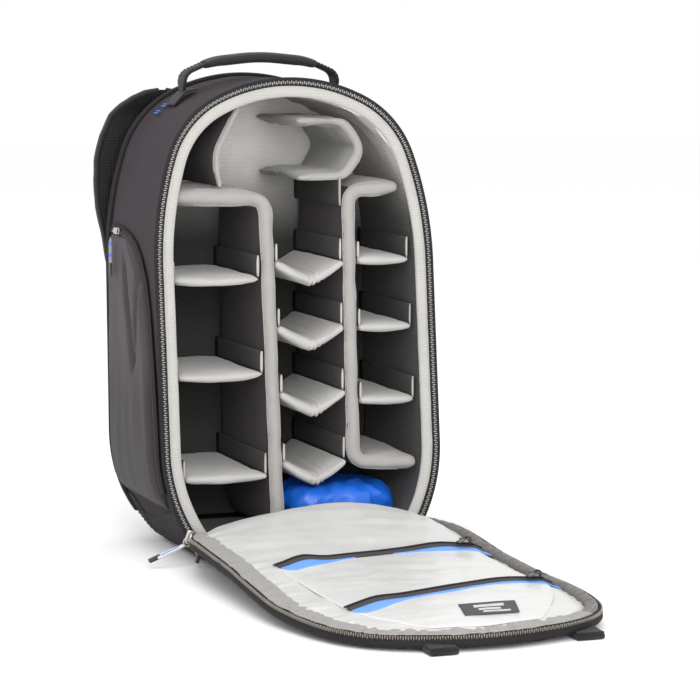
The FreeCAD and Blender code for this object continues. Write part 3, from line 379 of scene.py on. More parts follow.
# ---------------------------------------------------------------- materials
def linked(tree, kind, **values):
    """New shader node with its inputs and properties set."""
    node = tree.nodes.new(kind)
    for key, value in values.items():
        if key in node.inputs:
            node.inputs[key].default_value = value
        else:
            setattr(node, key, value)
    return node


def arithmetic(tree, operation, first, second=None):
    """Output of a math node on sockets or plain numbers."""
    node = linked(tree, "ShaderNodeMath", operation=operation)
    for socket, value in zip(node.inputs, (first, second)):
        if isinstance(value, (int, float)):
            socket.default_value = value
        elif value is not None:
            tree.links.new(value, socket)
    return node.outputs[0]


def weave_height(tree, coordinates, letters, period):
    """Height of a woven cloth: waves along each direction, which fade on the faces that look that way."""
    towards = linked(tree, "ShaderNodeSeparateXYZ")
    tree.links.new(coordinates.outputs["Normal"], towards.inputs[0])
    total, weights = None, None
    for letter in letters:
        wave = linked(tree, "ShaderNodeTexWave", wave_type="BANDS", bands_direction=letter,
                      Scale=2 * math.pi / (20 * period * MM), Distortion=0.4)
        tree.links.new(coordinates.outputs["Object"], wave.inputs["Vector"])
        across = arithmetic(tree, "ABSOLUTE", towards.outputs["XYZ".index(letter)])
        weight = arithmetic(tree, "SUBTRACT", 1.02, arithmetic(tree, "POWER", across, 0.6))
        part = arithmetic(tree, "MULTIPLY", wave.outputs["Fac"], weight)
        total = part if total is None else arithmetic(tree, "ADD", total, part)
        weights = weight if weights is None else arithmetic(tree, "ADD", weights, weight)
    return arithmetic(tree, "DIVIDE", total, arithmetic(tree, "ADD", weights, 0.05))


def darkened(tree, where, tint, low, high, share):
    """Colour that falls to a share of itself from a high to a low height."""
    split = linked(tree, "ShaderNodeSeparateXYZ")
    tree.links.new(where, split.inputs[0])
    rise = linked(tree, "ShaderNodeMapRange", interpolation_type="SMOOTHSTEP")
    for key, value in zip(("From Min", "From Max", "To Min", "To Max"), (low * MM, high * MM, share, 1.0)):
        rise.inputs[key].default_value = value
    tree.links.new(split.outputs["Z"], rise.inputs["Value"])
    darker = linked(tree, "ShaderNodeVectorMath", operation="SCALE")
    tree.links.new(tint, darker.inputs[0])
    tree.links.new(rise.outputs["Result"], darker.inputs["Scale"])
    return darker.outputs[0]


def material(name, colour, rough, weave=None, spread=0.12, bump=0.3, metal=0.0, sheen=0.0, fade=None):
    """Procedural material: colour that varies, an optional weave (direction letters, period in mm) and bump.

    fade is (low height, high height, share of the colour below it): colour that darkens as it goes down, used
    as painted shade on the linings and the charcoal fabric."""
    made = bpy.data.materials.new(name)
    made.use_nodes = True
    tree = made.node_tree
    shader = tree.nodes["Principled BSDF"]
    shader.inputs["Metallic"].default_value = metal
    shader.inputs["Specular IOR Level"].default_value = 0.2 if rough > 0.55 and not metal else 0.5
    shader.inputs["Sheen Weight"].default_value = sheen
    shader.inputs["Sheen Roughness"].default_value = 0.5
    place = linked(tree, "ShaderNodeTexCoord")
    where = place.outputs["Object"]
    patches = linked(tree, "ShaderNodeTexNoise", Scale=40.0, Detail=3.0)
    grain = linked(tree, "ShaderNodeTexNoise", Scale=900.0, Detail=2.0)
    for texture in (patches, grain):
        tree.links.new(where, texture.inputs["Vector"])
    tone = arithmetic(tree, "ADD", patches.outputs["Fac"], grain.outputs["Fac"])
    tone = arithmetic(tree, "MULTIPLY", tone, 0.5)
    height = grain.outputs["Fac"]
    if weave:
        height = weave_height(tree, place, *weave)
        tone = arithmetic(tree, "ADD", arithmetic(tree, "MULTIPLY", tone, 0.6),
                          arithmetic(tree, "MULTIPLY", height, 0.4))
    ramp_node = linked(tree, "ShaderNodeValToRGB")
    low = [c * (1 - spread * 1.6) for c in colour]
    high = [min(1.0, c * (1 + spread * 1.6)) for c in colour]
    ramp_node.color_ramp.elements[0].position = 0.25
    ramp_node.color_ramp.elements[1].position = 0.75
    ramp_node.color_ramp.elements[0].color = (*low, 1)
    ramp_node.color_ramp.elements[1].color = (*high, 1)
    tree.links.new(tone, ramp_node.inputs["Fac"])
    tint = ramp_node.outputs["Color"]
    if fade:
        tint = darkened(tree, where, tint, *fade)
    tree.links.new(tint, shader.inputs["Base Color"])
    wear = linked(tree, "ShaderNodeMapRange")
    wear.inputs["To Min"].default_value = max(0.05, rough - 0.08)
    wear.inputs["To Max"].default_value = min(1.0, rough + 0.08)
    tree.links.new(tone, wear.inputs["Value"])
    tree.links.new(wear.outputs["Result"], shader.inputs["Roughness"])
    relief = linked(tree, "ShaderNodeBump", Strength=bump, Distance=0.0006)
    tree.links.new(height, relief.inputs["Height"])
    tree.links.new(relief.outputs["Normal"], shader.inputs["Normal"])
    return made


# the charcoal's fade is painted shade: the cloth darkens towards the bottom of the bag, and the lid lying on
# the floor takes the darkest share
CHARCOAL = material("charcoal_weave", (0.041, 0.0325, 0.0385), 0.78, ("XYZ", 1.0), 0.16, 0.45,
                    fade=(60, 300, 0.48))
# near-black copy of the charcoal for the lid's side wall and the hinge cloth's underside: painted shade
LID_EDGE_PAINTED_SHADE = material("lid_edge_painted_shade", (0.014, 0.013, 0.014), 0.7, ("XYZ", 1.0), 0.16, 0.45)
BOOT = material("boot_fabric", (0.017, 0.0138, 0.0160), 0.7, ("XYZ", 1.3), 0.16, 0.5)
POCKET = material("pocket_fabric", (0.045, 0.0365, 0.0425), 0.6, ("XYZ", 1.0), 0.14, 0.35, sheen=0.05,
                  fade=(150, 215, 0.55))
BACKING = material("back_fabric", (0.018, 0.017, 0.019), 0.8, ("XYZ", 1.2), 0.16, 0.5)
# the fade on both linings is painted shade: the light lining darkens low down in the deep bays and on their
# floor, and stays light up in the crown
LINING = material("back_lining", (0.74, 0.72, 0.695), 0.82, ("Z", 2.1), 0.08, 0.55, sheen=0.2,
                  fade=(305, 425, 0.05))
WALL_LINING = material("wall_lining", (0.66, 0.645, 0.625), 0.85, ("Z", 2.1), 0.12, 0.5, sheen=0.1,
                       fade=(330, 430, 0.09))
LIGHT_PAD = material("light_divider_fabric", (0.41, 0.40, 0.385), 0.8, ("XYZ", 1.1), 0.07, 0.3, sheen=0.3)
ROLL_PAD = material("divider_roll_fabric", (0.315, 0.302, 0.290), 0.8, ("XYZ", 1.1), 0.07, 0.3, sheen=0.2)
DARK_PAD = material("dark_divider_fabric", (0.036, 0.0275, 0.0310), 0.85, ("XYZ", 1.2), 0.16, 0.5, sheen=0.1)
GREY_PAD = material("grey_divider_fabric", (0.25, 0.245, 0.237), 0.78, ("XYZ", 1.1), 0.10, 0.4, sheen=0.3)
TAB = material("hook_tab_fabric", (0.046, 0.044, 0.042), 0.9, ("XYZ", 0.9), 0.22, 0.7, sheen=0.1)
BINDING = material("binding_tape", (0.42, 0.41, 0.39), 0.75, ("Z", 1.6), 0.08, 0.5, sheen=0.2)
TAPE = material("zip_tape", (0.018, 0.017, 0.018), 0.7, ("XYZ", 1.0), 0.3, 0.6)
LID_TAPE = material("lid_zip_tape", (0.055, 0.050, 0.053), 0.6, ("XYZ", 1.0), 0.2, 0.5)
COIL = material("zip_coil", (0.30, 0.29, 0.28), 0.36, None, 0.2, 0.15, metal=0.55)
LID_COIL = material("lid_zip_coil", (0.20, 0.18, 0.15), 0.36, None, 0.2, 0.15, metal=0.6)
PIPING = material("piping_cord", (0.018, 0.016, 0.018), 0.6, ("XYZ", 0.8), 0.15, 0.4)
LIGHT_STITCH = material("light_stitching", (0.40, 0.39, 0.38), 0.6, ("XYZ", 0.8), 0.15, 0.4)
WEBBING = material("webbing", (0.014, 0.0125, 0.014), 0.62, ("XYZ", 1.6), 0.3, 0.8, sheen=0.1)
GRIP = material("grip_fabric", (0.026, 0.022, 0.024), 0.68, ("XYZ", 1.4), 0.24, 0.7, sheen=0.1)
MESH_PAD = material("air_mesh", (0.010, 0.009, 0.011), 0.75, ("XYZ", 3.0), 0.5, 1.0)
PLASTIC = material("buckle_plastic", (0.020, 0.020, 0.021), 0.38, None, 0.15, 0.12)
METAL = material("slider_metal", (0.50, 0.48, 0.46), 0.28, None, 0.15, 0.1, metal=0.9)
DARK_METAL = material("dark_slider_metal", (0.10, 0.093, 0.086), 0.3, None, 0.15, 0.1, metal=0.9)
SILVER = material("silver_cord", (0.62, 0.64, 0.67), 0.4, ("XYZ", 1.6), 0.2, 0.6, metal=0.3)
BLUE_CORD = material("blue_thread", (0.04, 0.20, 0.72), 0.55, ("XYZ", 0.9), 0.2, 0.5)
BLUE = material("blue_nylon", (0.008, 0.12, 0.60), 0.38, ("XYZ", 3.2), 0.12, 0.15)
BLUE_TRIM = material("blue_trim", (0.13, 0.32, 0.80), 0.5, ("XYZ", 1.3), 0.08, 0.25)
LID_LINING = material("lid_lining", (0.56, 0.56, 0.545), 0.34, ("XYZ", 1.4), 0.04, 0.08, sheen=0.1)
LID_POCKET = material("lid_pocket_mesh", (0.59, 0.59, 0.58), 0.28, ("XYZ", 1.2), 0.04, 0.08, sheen=0.1)
LID_BINDING = material("lid_binding", (0.28, 0.27, 0.255), 0.6, ("XYZ", 1.1), 0.14, 0.5, sheen=0.2)
# darker copy of the lid binding for its right side: painted shade
LID_BINDING_PAINTED_SHADE = material("lid_binding_shaded", (0.12, 0.11, 0.105), 0.6, ("XYZ", 1.1), 0.14, 0.5,
                            sheen=0.2)
LABEL = material("label_cloth", (0.075, 0.075, 0.08), 0.6, ("XYZ", 0.9), 0.3, 0.4)
LABEL_PRINT = material("label_print", (0.55, 0.55, 0.56), 0.55, ("XYZ", 0.9), 0.2, 0.3)
FRAME_PLASTIC = material("frame_plastic", (0.06, 0.06, 0.062), 0.5, None, 0.15, 0.15)

# ---------------------------------------------------------------- stage: floor, lights, camera
def area_light(name, place, target, size, energy):
    """Soft square light aimed at a point, in metres."""
    lamp = bpy.data.lights.new(name, "AREA")
    lamp.size = size
    lamp.energy = energy
    obj = bpy.data.objects.new(name, lamp)
    obj.location = place
    obj.rotation_euler = (Vector(target) - Vector(place)).to_track_quat("-Z", "Y").to_euler()
    bpy.context.scene.collection.objects.link(obj)


bag_middle = (0.0, 0.0, 0.2)
area_light("key_light", (-0.5, -2.4, 1.7), bag_middle, 1.3, 14.0)
area_light("frontal_softbox", (-0.45, -3.1, 0.95), (0.0, 0.0, 0.3), 1.5, 48.0)
area_light("left_fill", (-1.1, -0.9, 2.4), (-0.3, -0.2, 0.0), 1.6, 12.0)
area_light("top_light", (0.1, 0.5, 2.5), bag_middle, 1.6, 4.0)
area_light("rear_light", (-1.2, 2.4, 1.4), bag_middle, 1.6, 3.0)

world = bpy.data.worlds.new("studio")
bpy.context.scene.world = world
world.use_nodes = True
world.node_tree.nodes["Background"].inputs["Color"].default_value = (1.0, 1.0, 1.0, 1.0)
world.node_tree.nodes["Background"].inputs["Strength"].default_value = 1.0
bpy.context.scene.view_settings.view_transform = "Standard"

floor_look = bpy.data.materials.new("studio_floor")
floor_look.use_nodes = True
floor_shader = floor_look.node_tree.nodes["Principled BSDF"]
floor_shader.inputs["Base Color"].default_value = (0.985, 0.985, 0.985, 1.0)
floor_shader.inputs["Roughness"].default_value = 0.9
floor_mesh = bpy.data.meshes.new("studio_floor")
reach = 9.0
floor_mesh.from_pydata([(-reach, -reach, 0), (reach, -reach, 0), (reach, reach, 0), (-reach, reach, 0)],
                       [], [(0, 1, 2, 3)])
floor_mesh.materials.append(floor_look)
floor = bpy.data.objects.new("studio_floor", floor_mesh)
bpy.context.scene.collection.objects.link(floor)

CAMERA_PLACE = (-0.9939, -2.8518, 0.5557)       # metres
YAW, PITCH = 0.350, 0.113                       # radians to the right and down
FOCAL_LENGTH, SENSOR_WIDTH = 154.3, 36.0
camera_data = bpy.data.cameras.new("camera")
camera_data.sensor_width = SENSOR_WIDTH
camera_data.lens = FOCAL_LENGTH
camera = bpy.data.objects.new("camera", camera_data)
camera.location = CAMERA_PLACE
looking = Vector((math.sin(YAW) * math.cos(PITCH), math.cos(YAW) * math.cos(PITCH), -math.sin(PITCH)))
camera.rotation_euler = looking.to_track_quat("-Z", "Y").to_euler()
bpy.context.scene.collection.objects.link(camera)
bpy.context.scene.camera = camera

# ---------------------------------------------------------------- padded tub: outer fabric
GUSSET_INSET = 4.0          # the gusset meets the back panel this far inside the heel
GUSSET_EDGE = 2.2           # and the rim this far behind its plane
skin_half = half_width(SKIRT)
inner_half = half_width(SKIRT - WALL)


def heel_arc(inset, floor):
    """Radius of the heel inside the skin, and the Y of its centre."""
    return HEEL - inset, back_y(floor, inset) - (HEEL - inset)


def heel_z(y, inset, floor):
    """Height of the rounded heel at a depth."""
    radius, centre = heel_arc(inset, floor)
    past = np.clip((y - centre) / radius, 0.0, 1.0)
    return floor + radius - radius * np.sqrt(1 - past ** 2)


def heel_y(z, inset, floor):
    """Rear limit of the tub at a height: the heel, then the leaning back."""
    z = np.asarray(z, float)
    radius, centre = heel_arc(inset, floor)
    low = np.clip((floor + radius - z) / radius, 0.0, 1.0)
    curved = centre + radius * np.sqrt(1 - low ** 2)
    return np.where(z < floor + radius, curved, back_y(z, inset))


# gusset: the skin round the sides and over the crown
gusset_line = resample(above(outline(SKIRT), 29.0), 300)
gx, gz = gusset_line[:, 0], gusset_line[:, 1]
seam_y = heel_y(gz, GUSSET_INSET, GUSSET_INSET)
depth_share = np.linspace(0.0, 1.0, 46)[:, None]
gusset_front = front_y(gz, GUSSET_EDGE)[None, :]
gusset_y = gusset_front * (1 - depth_share) + seam_y[None, :] * depth_share
gusset = np.stack(np.broadcast_arrays(gx, gusset_y, gz), axis=2)
outward = unit(np.stack([np.gradient(gz), 0 * gz, -np.gradient(gx)], axis=1))
edge_fade = np.sin(math.pi * np.clip(depth_share, 0.02, 0.98)) ** 0.5
slack = (ripple(gusset, 120.0) * 2.2 + ripple(gusset, 38.0, 4.0) * 0.8) * edge_fade
rolled = np.clip(1 - (gusset_y - gusset_front) / 3.0, 0, 1) ** 2 * 2.0
gusset = gusset + outward[None, :, :] * (slack - 0.6 - rolled)[:, :, None]
piece("gusset_skin", *shell(gusset, 2.0, normals=facing(outward, gusset)), CHARCOAL, "bag", "charcoal_fabric",
      replaces=["side_gusset"])


def boot_top(y):
    """Height of the boot's upper seam: it drops towards the heel, then climbs to the back panel."""
    falling = np.clip(54.0 - 0.2 * (y + 3.0), 30.0, 54.0)
    return float(falling + (BOOT_TOP - falling) * smooth(y, 140.0, 168.0))


# boot: the ribbed base, up to its seam on each side
SEAM_COLUMN = 6             # of the boot's grid, counted from its edge
boot_rows = []
boot_low = resample(outline(SKIRT), 3000, closed=True)
boot_low = np.roll(boot_low, -int(np.argmax(boot_low[:, 1])), axis=0)
boot_end = float(heel_y(BOOT_TOP - 0.5, 0.0, 0.0)) - 0.3
for share in np.linspace(0.0, 1.0, 60):
    y = front_y(0.0) + share * (boot_end - front_y(0.0))
    under = float(heel_z(y, 0.0, 0.0))
    kept = boot_low[boot_low[:, 1] <= boot_top(y) + 0.5]
    kept = np.column_stack([kept[:, 0], np.maximum(kept[:, 1], under + 0.2)])
    kept = resample(kept, 220)
    forward = front_y(kept[:, 1], 2.0) - front_y(0.0)
    boot_rows.append(np.column_stack([kept[:, 0], y + forward * (1 - share), kept[:, 1]]))
boot = np.array(boot_rows)
boot_ribs = 0.35 * np.sin(boot[:, :, 2] * 2 * math.pi / 3.4) * smooth(boot[:, :, 2], 3.0, 8.0)
boot_out = -grid_normals(boot)
flat_base = smooth(boot[:, :, 2], 0.5, 4.0)
boot = boot + boot_out * ((boot_ribs + 0.9 + 0.5 * ripple(boot, 60.0)) * flat_base)[:, :, None]
boot[:, :, 2] = np.maximum(boot[:, :, 2], 0.1)
piece("boot_skin", *shell(boot, 2.2, normals=boot_out), BOOT, "bag", "boot_fabric", replaces=["base_boot"])

# piping where the gusset meets the back panel, and the stitches of both seams
seam_path = np.column_stack([gx, seam_y, gz])
piping_path = resample(seam_path + np.column_stack([outward[:, 0], 0 * gx, outward[:, 2]]) * 1.4, 420)
piping_up = unit(resample(outward, 420))
piping_parts = [tube(piping_path + shift * REARWARDS, piping_up, oval(3.6, 3.6, 10)) for shift in (-3.4, 1.6)]
piping_parts.append(tube(piping_path - 0.9 * REARWARDS - piping_up * 1.5, piping_up, oval(8.6, 3.4, 10)))
seam_line = piping_path - 6.4 * REARWARDS - piping_up * 0.6
piping_parts.append(row_of(seam_line, piping_up, 4.0, (2.6, 0.7, 0.7), 0.2))
piece("piping_cords", *join(piping_parts), PIPING, "bag", "piping", replaces=["back_piping"])
seams = []
for column in (SEAM_COLUMN, -1 - SEAM_COLUMN):
    seams.append(row_of(boot[1:-1, column], boot_out[1:-1, column], 3.6, (2.4, 0.7, 0.7), 0.2))
piece("boot_stitching", *join(seams), PIPING, "bag", "piping")

# back panel
crown_top = float(gz.max())
back_z = closing_rows(BOOT_TOP - 0.5, crown_top - 1.1, 90)
back_u = np.sin(np.linspace(-math.pi / 2, math.pi / 2, 60))
back_x = skin_half(back_z)[:, None] * back_u[None, :]
edge = 1 - np.abs(back_u) ** 10
panel_y = heel_y(back_z, 0.0, 0.0)[:, None] - (1 - edge)[None, :] * 6.0
panel_y = panel_y - smooth(back_z, crown_top - 14, crown_top)[:, None] * 6.0
back_grid = np.stack(np.broadcast_arrays(back_x, panel_y, back_z[:, None]), axis=2)
back_grid[:, :, 1] += 0.7 * ripple(back_grid, 70.0, 2.0) * edge[None, :]
piece("back_cover", *shell(back_grid, 2.0, normals=facing(REARWARDS, back_grid)), BACKING, "bag",
      "back_fabric", replaces=["back_panel"])

# ---------------------------------------------------------------- padded tub: lining
inner_line = resample(above(outline(SKIRT - WALL), FLOOR + 0.4), 260)
lining_loop = resample(np.vstack([inner_line, [[inner_line[-1, 0], FLOOR], [inner_line[0, 0], FLOOR]]]), 420,
                       closed=True)
lining_run = np.roll(lining_loop, -1, 0) - np.roll(lining_loop, 1, 0)
lining_out = unit(np.stack([lining_run[:, 1], -lining_run[:, 0]], axis=1))
lining_fore = front_y(lining_loop[:, 1], 2.0)
lining_rear = heel_y(lining_loop[:, 1], WALL, FLOOR) + 1.0
rows = []
for share in np.linspace(0.0, 1.0, 44):
    y = lining_fore * (1 - share) + lining_rear * share
    rows.append(np.column_stack([lining_loop[:, 0], y, lining_loop[:, 1]]))
lining = np.array(rows)
lining_normal = facing(np.column_stack([-lining_out[:, 0], 0 * lining_out[:, 0], -lining_out[:, 1]]), lining)
loose = 2.6 * (1 - abs(ripple(lining * [1, 0.6, 1], 34.0, 17.0)) * 2) + ripple(lining, 15.0, 19.0)
loose = loose * smooth(lining[:, :, 2], 385.0, 420.0) * smooth(lining[:, :, 0], 20.0, 60.0)
lining_rise = np.maximum(loose, -0.5) - 0.4 - 0.5 * abs(ripple(lining, 46.0, 7.0))
lining = lining + lining_normal * lining_rise[:, :, None]
piece("wall_lining_cloth", *shell(lining, 1.2, wrap=True, normals=lining_normal), WALL_LINING, "bag",
      "grey_lining", replaces=["wall_lining", "wall_foam"])

# lining of the back panel
rear_z = closing_rows(FLOOR + 2.0, float(inner_line[:, 1].max()) - 1.0, 90)
rear_x = (inner_half(rear_z)[:, None] + 0.5) * back_u[None, :]
rear_y = heel_y(rear_z, WALL, FLOOR)[:, None]
rear_grid = np.stack(np.broadcast_arrays(rear_x, rear_y, rear_z[:, None]), axis=2)
rear_grid[:, :, 1] += 0.8 + 0.6 * ripple(rear_grid, 55.0, 11.0)
piece("back_lining_cloth", *shell(rear_grid, 1.2, normals=facing(FORWARDS, rear_grid)), LINING, "bag",
      "grey_lining", replaces=["back_lining"])

# ---------------------------------------------------------------- rim: zip tape, teeth, binding
def rim_path(offset, low, behind, count):
    """Points along the rim, that far outside the zip line and behind the rim plane."""
    line = resample(above(outline(offset), low), count)
    return np.column_stack([line[:, 0], front_y(line[:, 1], behind), line[:, 1]])


tape_line = rim_path(0.2, 27.0, 0.9, 420)
piece("rim_tape", *tube(tape_line, FORWARDS, oval(10.0, 1.8, 12, 4.0)), TAPE, "bag", "zip_tape",
      replaces=["body_zip_tape"])
teeth = row_of(rim_path(0.0, 29.0, -0.2, 900), FORWARDS, 2.3, (1.35, 3.1, 1.7), 0.35, 0.35)
piece("rim_teeth", *teeth, COIL, "bag", "zip_coil", replaces=["body_zip_coil"])
bind_line = rim_path(-9.2, FLOOR, 1.6, 520)
bind_ripple = 1 + 0.10 * ripple(bind_line, 9.0, 3.0) + 0.08 * ripple(bind_line, 30.0, 8.0)
bind_scale = np.column_stack([1 + 0.04 * ripple(bind_line, 20.0), bind_ripple])
piece("rim_binding_roll", *tube(bind_line, FORWARDS, oval(11.6, 6.4, 16, 2.4), scale=bind_scale), BINDING,
      "bag", "binding", replaces=["rim_binding"])
outer_edge = rim_path(3.4, BOOT_TOP - 12, GUSSET_EDGE, 420)
piece("gusset_edge_roll", *tube(outer_edge, FORWARDS, oval(3.0, 3.4, 10)), CHARCOAL, "bag", "charcoal_fabric")
stitches = row_of(rim_path(-5.6, FLOOR + 2, -1.5, 600), FORWARDS, 3.4, (2.2, 0.6, 0.6), 0.15)
piece("binding_stitching", *stitches, BINDING, "bag", "binding")
sheet_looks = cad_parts["frame_sheet"].data.materials
sheet_looks.clear()
sheet_looks.append(FRAME_PLASTIC)

# ---------------------------------------------------------------- padded dividers and shelves
ROLL_STEPS = 7              # of a pad's rounded front edge
ROLL_SHARE = 0.035          # of a pad's depth that still belongs to the roll
CLOTH_STEPS = 20


def inflate(points, faces, voxel, cap, pressure=4.0):
    """Puffs a closed pad with a short cloth simulation; no point moves further than cap.  Millimetres."""
    scene = bpy.context.scene
    mesh = bpy.data.meshes.new("swelling")
    mesh.from_pydata([tuple(p) for p in np.asarray(points, float) * MM], [], faces)
    obj = bpy.data.objects.new("swelling", mesh)
    scene.collection.objects.link(obj)
    bpy.context.view_layer.objects.active = obj
    remesh = obj.modifiers.new("remesh", "REMESH")
    remesh.mode = "VOXEL"
    remesh.voxel_size = voxel * MM
    bpy.ops.object.modifier_apply(modifier=remesh.name)
    start = np.array([v.co for v in obj.data.vertices])
    cloth = obj.modifiers.new("cloth", "CLOTH")
    cloth.settings.use_pressure = True
    cloth.settings.uniform_pressure_force = pressure
    cloth.settings.effector_weights.gravity = 0.0
    cloth.settings.quality = 3
    for step in range(CLOTH_STEPS):
        scene.frame_set(step + 1)
    evaluated = obj.evaluated_get(bpy.context.evaluated_depsgraph_get())
    moved = np.array([v.co for v in evaluated.data.vertices]) - start
    obj.modifiers.remove(cloth)
    scene.frame_set(1)
    far = np.linalg.norm(moved, axis=1, keepdims=True)
    moved *= np.minimum(1.0, cap * MM / np.maximum(far, 1e-9))
    obj.data.vertices.foreach_set("co", (start + moved).ravel())
    finer = obj.modifiers.new("finer", "SUBSURF")
    finer.levels = 1
    bpy.ops.object.modifier_apply(modifier=finer.name)
    swollen = np.array([v.co for v in obj.data.vertices]) / MM
    found = [tuple(polygon.vertices) for polygon in obj.data.polygons]
    bpy.data.objects.remove(obj)
    bpy.data.meshes.remove(mesh)
    return swollen, found


def middles_of(points, faces):
    """Middle of each face."""
    points = np.asarray(points, float)
    return np.array([points[list(f)[:4]].mean(axis=0) for f in faces])


def front_normal(path):
    """Unit normals, in the front view, to the left of a path's direction."""
    ahead = unit(np.gradient(path, axis=0))
    return np.column_stack([-ahead[:, 1], ahead[:, 0]])


def pad_slab(path, thick, fore, rear, rows=24, puff=0.6, soft=0.8, seed=0.0):
    """Padded slab that follows a path in the front view, from a front edge to a rear one.

    thick, fore and rear are numbers or have one value for each point.  The front edge is a rounded roll.
    Returns points, faces and a flag for each face that belongs to the roll."""
    count = len(path)
    normal = front_normal(path)
    ends = np.minimum(np.arange(count), np.arange(count)[::-1])
    half = thick / 2 * (1 - 0.45 * np.exp(-ends / 0.8))
    across, along, roll = [], [], []
    for k in range(ROLL_STEPS + 1):
        angle = math.pi * k / ROLL_STEPS
        across.append(np.cos(angle) * half)
        along.append(fore + half * (1 - np.sin(angle)))
        roll.append(True)
    shares = np.linspace(0, 1, rows + 1)[1:]
    crown = 1 + puff * np.sin(math.pi * shares) ** 0.7 * 0.12
    for face, order in ((-1, 1), (1, -1)):          # in along one face and back along the other
        for share, wide in zip(shares[::order], crown[::order]):
            across.append(face * half * wide)
            along.append(fore + half + (rear - fore - half) * share)
            roll.append(share < ROLL_SHARE)
    across, along = np.array(across).T, np.array(along).T
    points = np.stack([path[:, None, 0] + normal[:, None, 0] * across, along,
                       path[:, None, 1] + normal[:, None, 1] * across], axis=2)
    bump = ripple(points, 26.0, seed) * soft + ripple(points, 9.0, seed + 5) * soft * 0.25
    side = np.sign(across)
    push = np.stack([normal[:, None, 0] * side, 0 * side, normal[:, None, 1] * side], axis=2)
    points = points + push * (bump - 0.3 * soft)[:, :, None]
    around = points.shape[1]
    faces = grid_faces(count, around, wrap=True)
    flags = [roll[j] and roll[(j + 1) % around] for _ in range(count - 1) for j in range(around)]
    faces.append(tuple(range(around - 1, -1, -1)))
    faces.append(tuple(range((count - 1) * around, count * around)))
    return points.reshape(-1, 3), faces, [int(f) for f in flags] + [0, 0]


def rear_of(z, inset=1.2):
    """Y where a divider stops in front of the back lining."""
    return np.array(heel_y(z, WALL + inset, FLOOR + inset), float)


def divider(name, path, thick, looks, light_when, node, fore=DIVIDER_FRONT, puff=0.6, soft=0.7, seed=0.0,
            voxel=4.0, cap=1.6, extra=(), deeper=0.0):
    """Padded divider: its roll, and faces that light_when picks, take the second material."""
    thick = np.broadcast_to(np.asarray(thick, float), (len(path),))
    front = front_y(path[:, 1], fore)
    points, faces, _ = pad_slab(path, thick, front, rear_of(path[:, 1]), puff=puff, soft=soft, seed=seed)
    points, faces = inflate(points, faces, voxel, cap)
    roll_depth = float(thick.mean()) * 0.52 + deeper
    shown = [int(m[1] < front_y(m[2], fore) + roll_depth or light_when(m)) for m in middles_of(points, faces)]
    skin = BVHTree.FromPolygons([tuple(p) for p in points], [tuple(f) for f in faces])
    seams = []
    for side in (-1, 1):
        edge = path + front_normal(path) * (side * (thick / 2 + 0.25))[:, None]
        line = np.column_stack([edge[:, 0], front + roll_depth, edge[:, 1]])[5:-5]
        hits = [skin.find_nearest(tuple(p))[:2] for p in resample(line, 3 * len(line))]
        line = np.array([place + normal * 0.2 for place, normal in hits])
        for _ in range(6):
            line[1:-1] = (line[:-2] + 2 * line[1:-1] + line[2:]) / 4
        seams.append(tube(line, FORWARDS, oval(1.1, 1.1, 8)))
    every = join([(points, faces)] + seams + [part[:2] for part in extra])
    shown += [1] * sum(len(seam[1]) for seam in seams)
    for part in extra:
        shown += list(part[2])
    pad = piece(name, *every, looks, node, "divider_fabric", shown=shown, replaces=[node])


def along_path(corners, step=4.0):
    """Open rounded polyline in the front view, evenly stepped."""
    line = rounded(corners, 1.5, closed=False)
    length = np.linalg.norm(np.diff(line, axis=0), axis=1).sum()
    return resample(line, max(8, int(length / step)))


TAB_RISE, TAB_THICK, SHELF_THICK = 20.0, 2.8, 7.6


def upright_tab(x, z, rise, fore, rear, seed):
    """Hook-and-loop tab standing on a shelf's end: (points, faces, roll flags)."""
    path = np.linspace((x, z), (x, z + rise), 8)
    return pad_slab(path, TAB_THICK, fore + 1.5, rear, rows=14, puff=0.2, soft=0.35, seed=seed)


LEFT_X, ARM_Z = -26.0, 366.0        # the left long divider's upright and the height of its arm
left_path = along_path([(LEFT_X, 24.4, 0), (LEFT_X, ARM_Z, 14), (-float(inner_half(ARM_Z)) + 1.0, ARM_Z, 0)])
arm_share = smooth(-left_path[:, 0], 34.0, 60.0)
left_thick = 13.4 + 2.4 * arm_share + 1.6 * np.exp(-((left_path[:, 0] + 62) / 20) ** 2) * arm_share
divider("left_long_pad", left_path, left_thick, [DARK_PAD, ROLL_PAD],
        lambda m: m[0] < -36.0 or m[2] > ARM_Z - 6, "left_long_divider", soft=0.9, seed=1.0)

LOW_ARM, HIGH_ARM = 91.0, 372.0     # heights of the right long divider's arms
LOW_X, HIGH_X = 58.0, 64.0          # and where its leaning upright meets them
low_end = float(inner_half(LOW_ARM)) - 1.6
high_end = float(inner_half(HIGH_ARM + 8)) - 1.2
right_path = along_path([(low_end, LOW_ARM, 0), (LOW_X, LOW_ARM, 13), (HIGH_X, HIGH_ARM, 13),
                         (high_end, HIGH_ARM, 0)])
right_thick = 13.2 + 2.0 * smooth(right_path[:, 0], 74.0, 92.0)
divider("right_long_pad", right_path, right_thick, [DARK_PAD, ROLL_PAD],
        lambda m: m[0] > 73.0 or m[2] < LOW_ARM - 4 or m[2] > HIGH_ARM + 2, "right_long_divider", soft=0.9,
        seed=9.0)

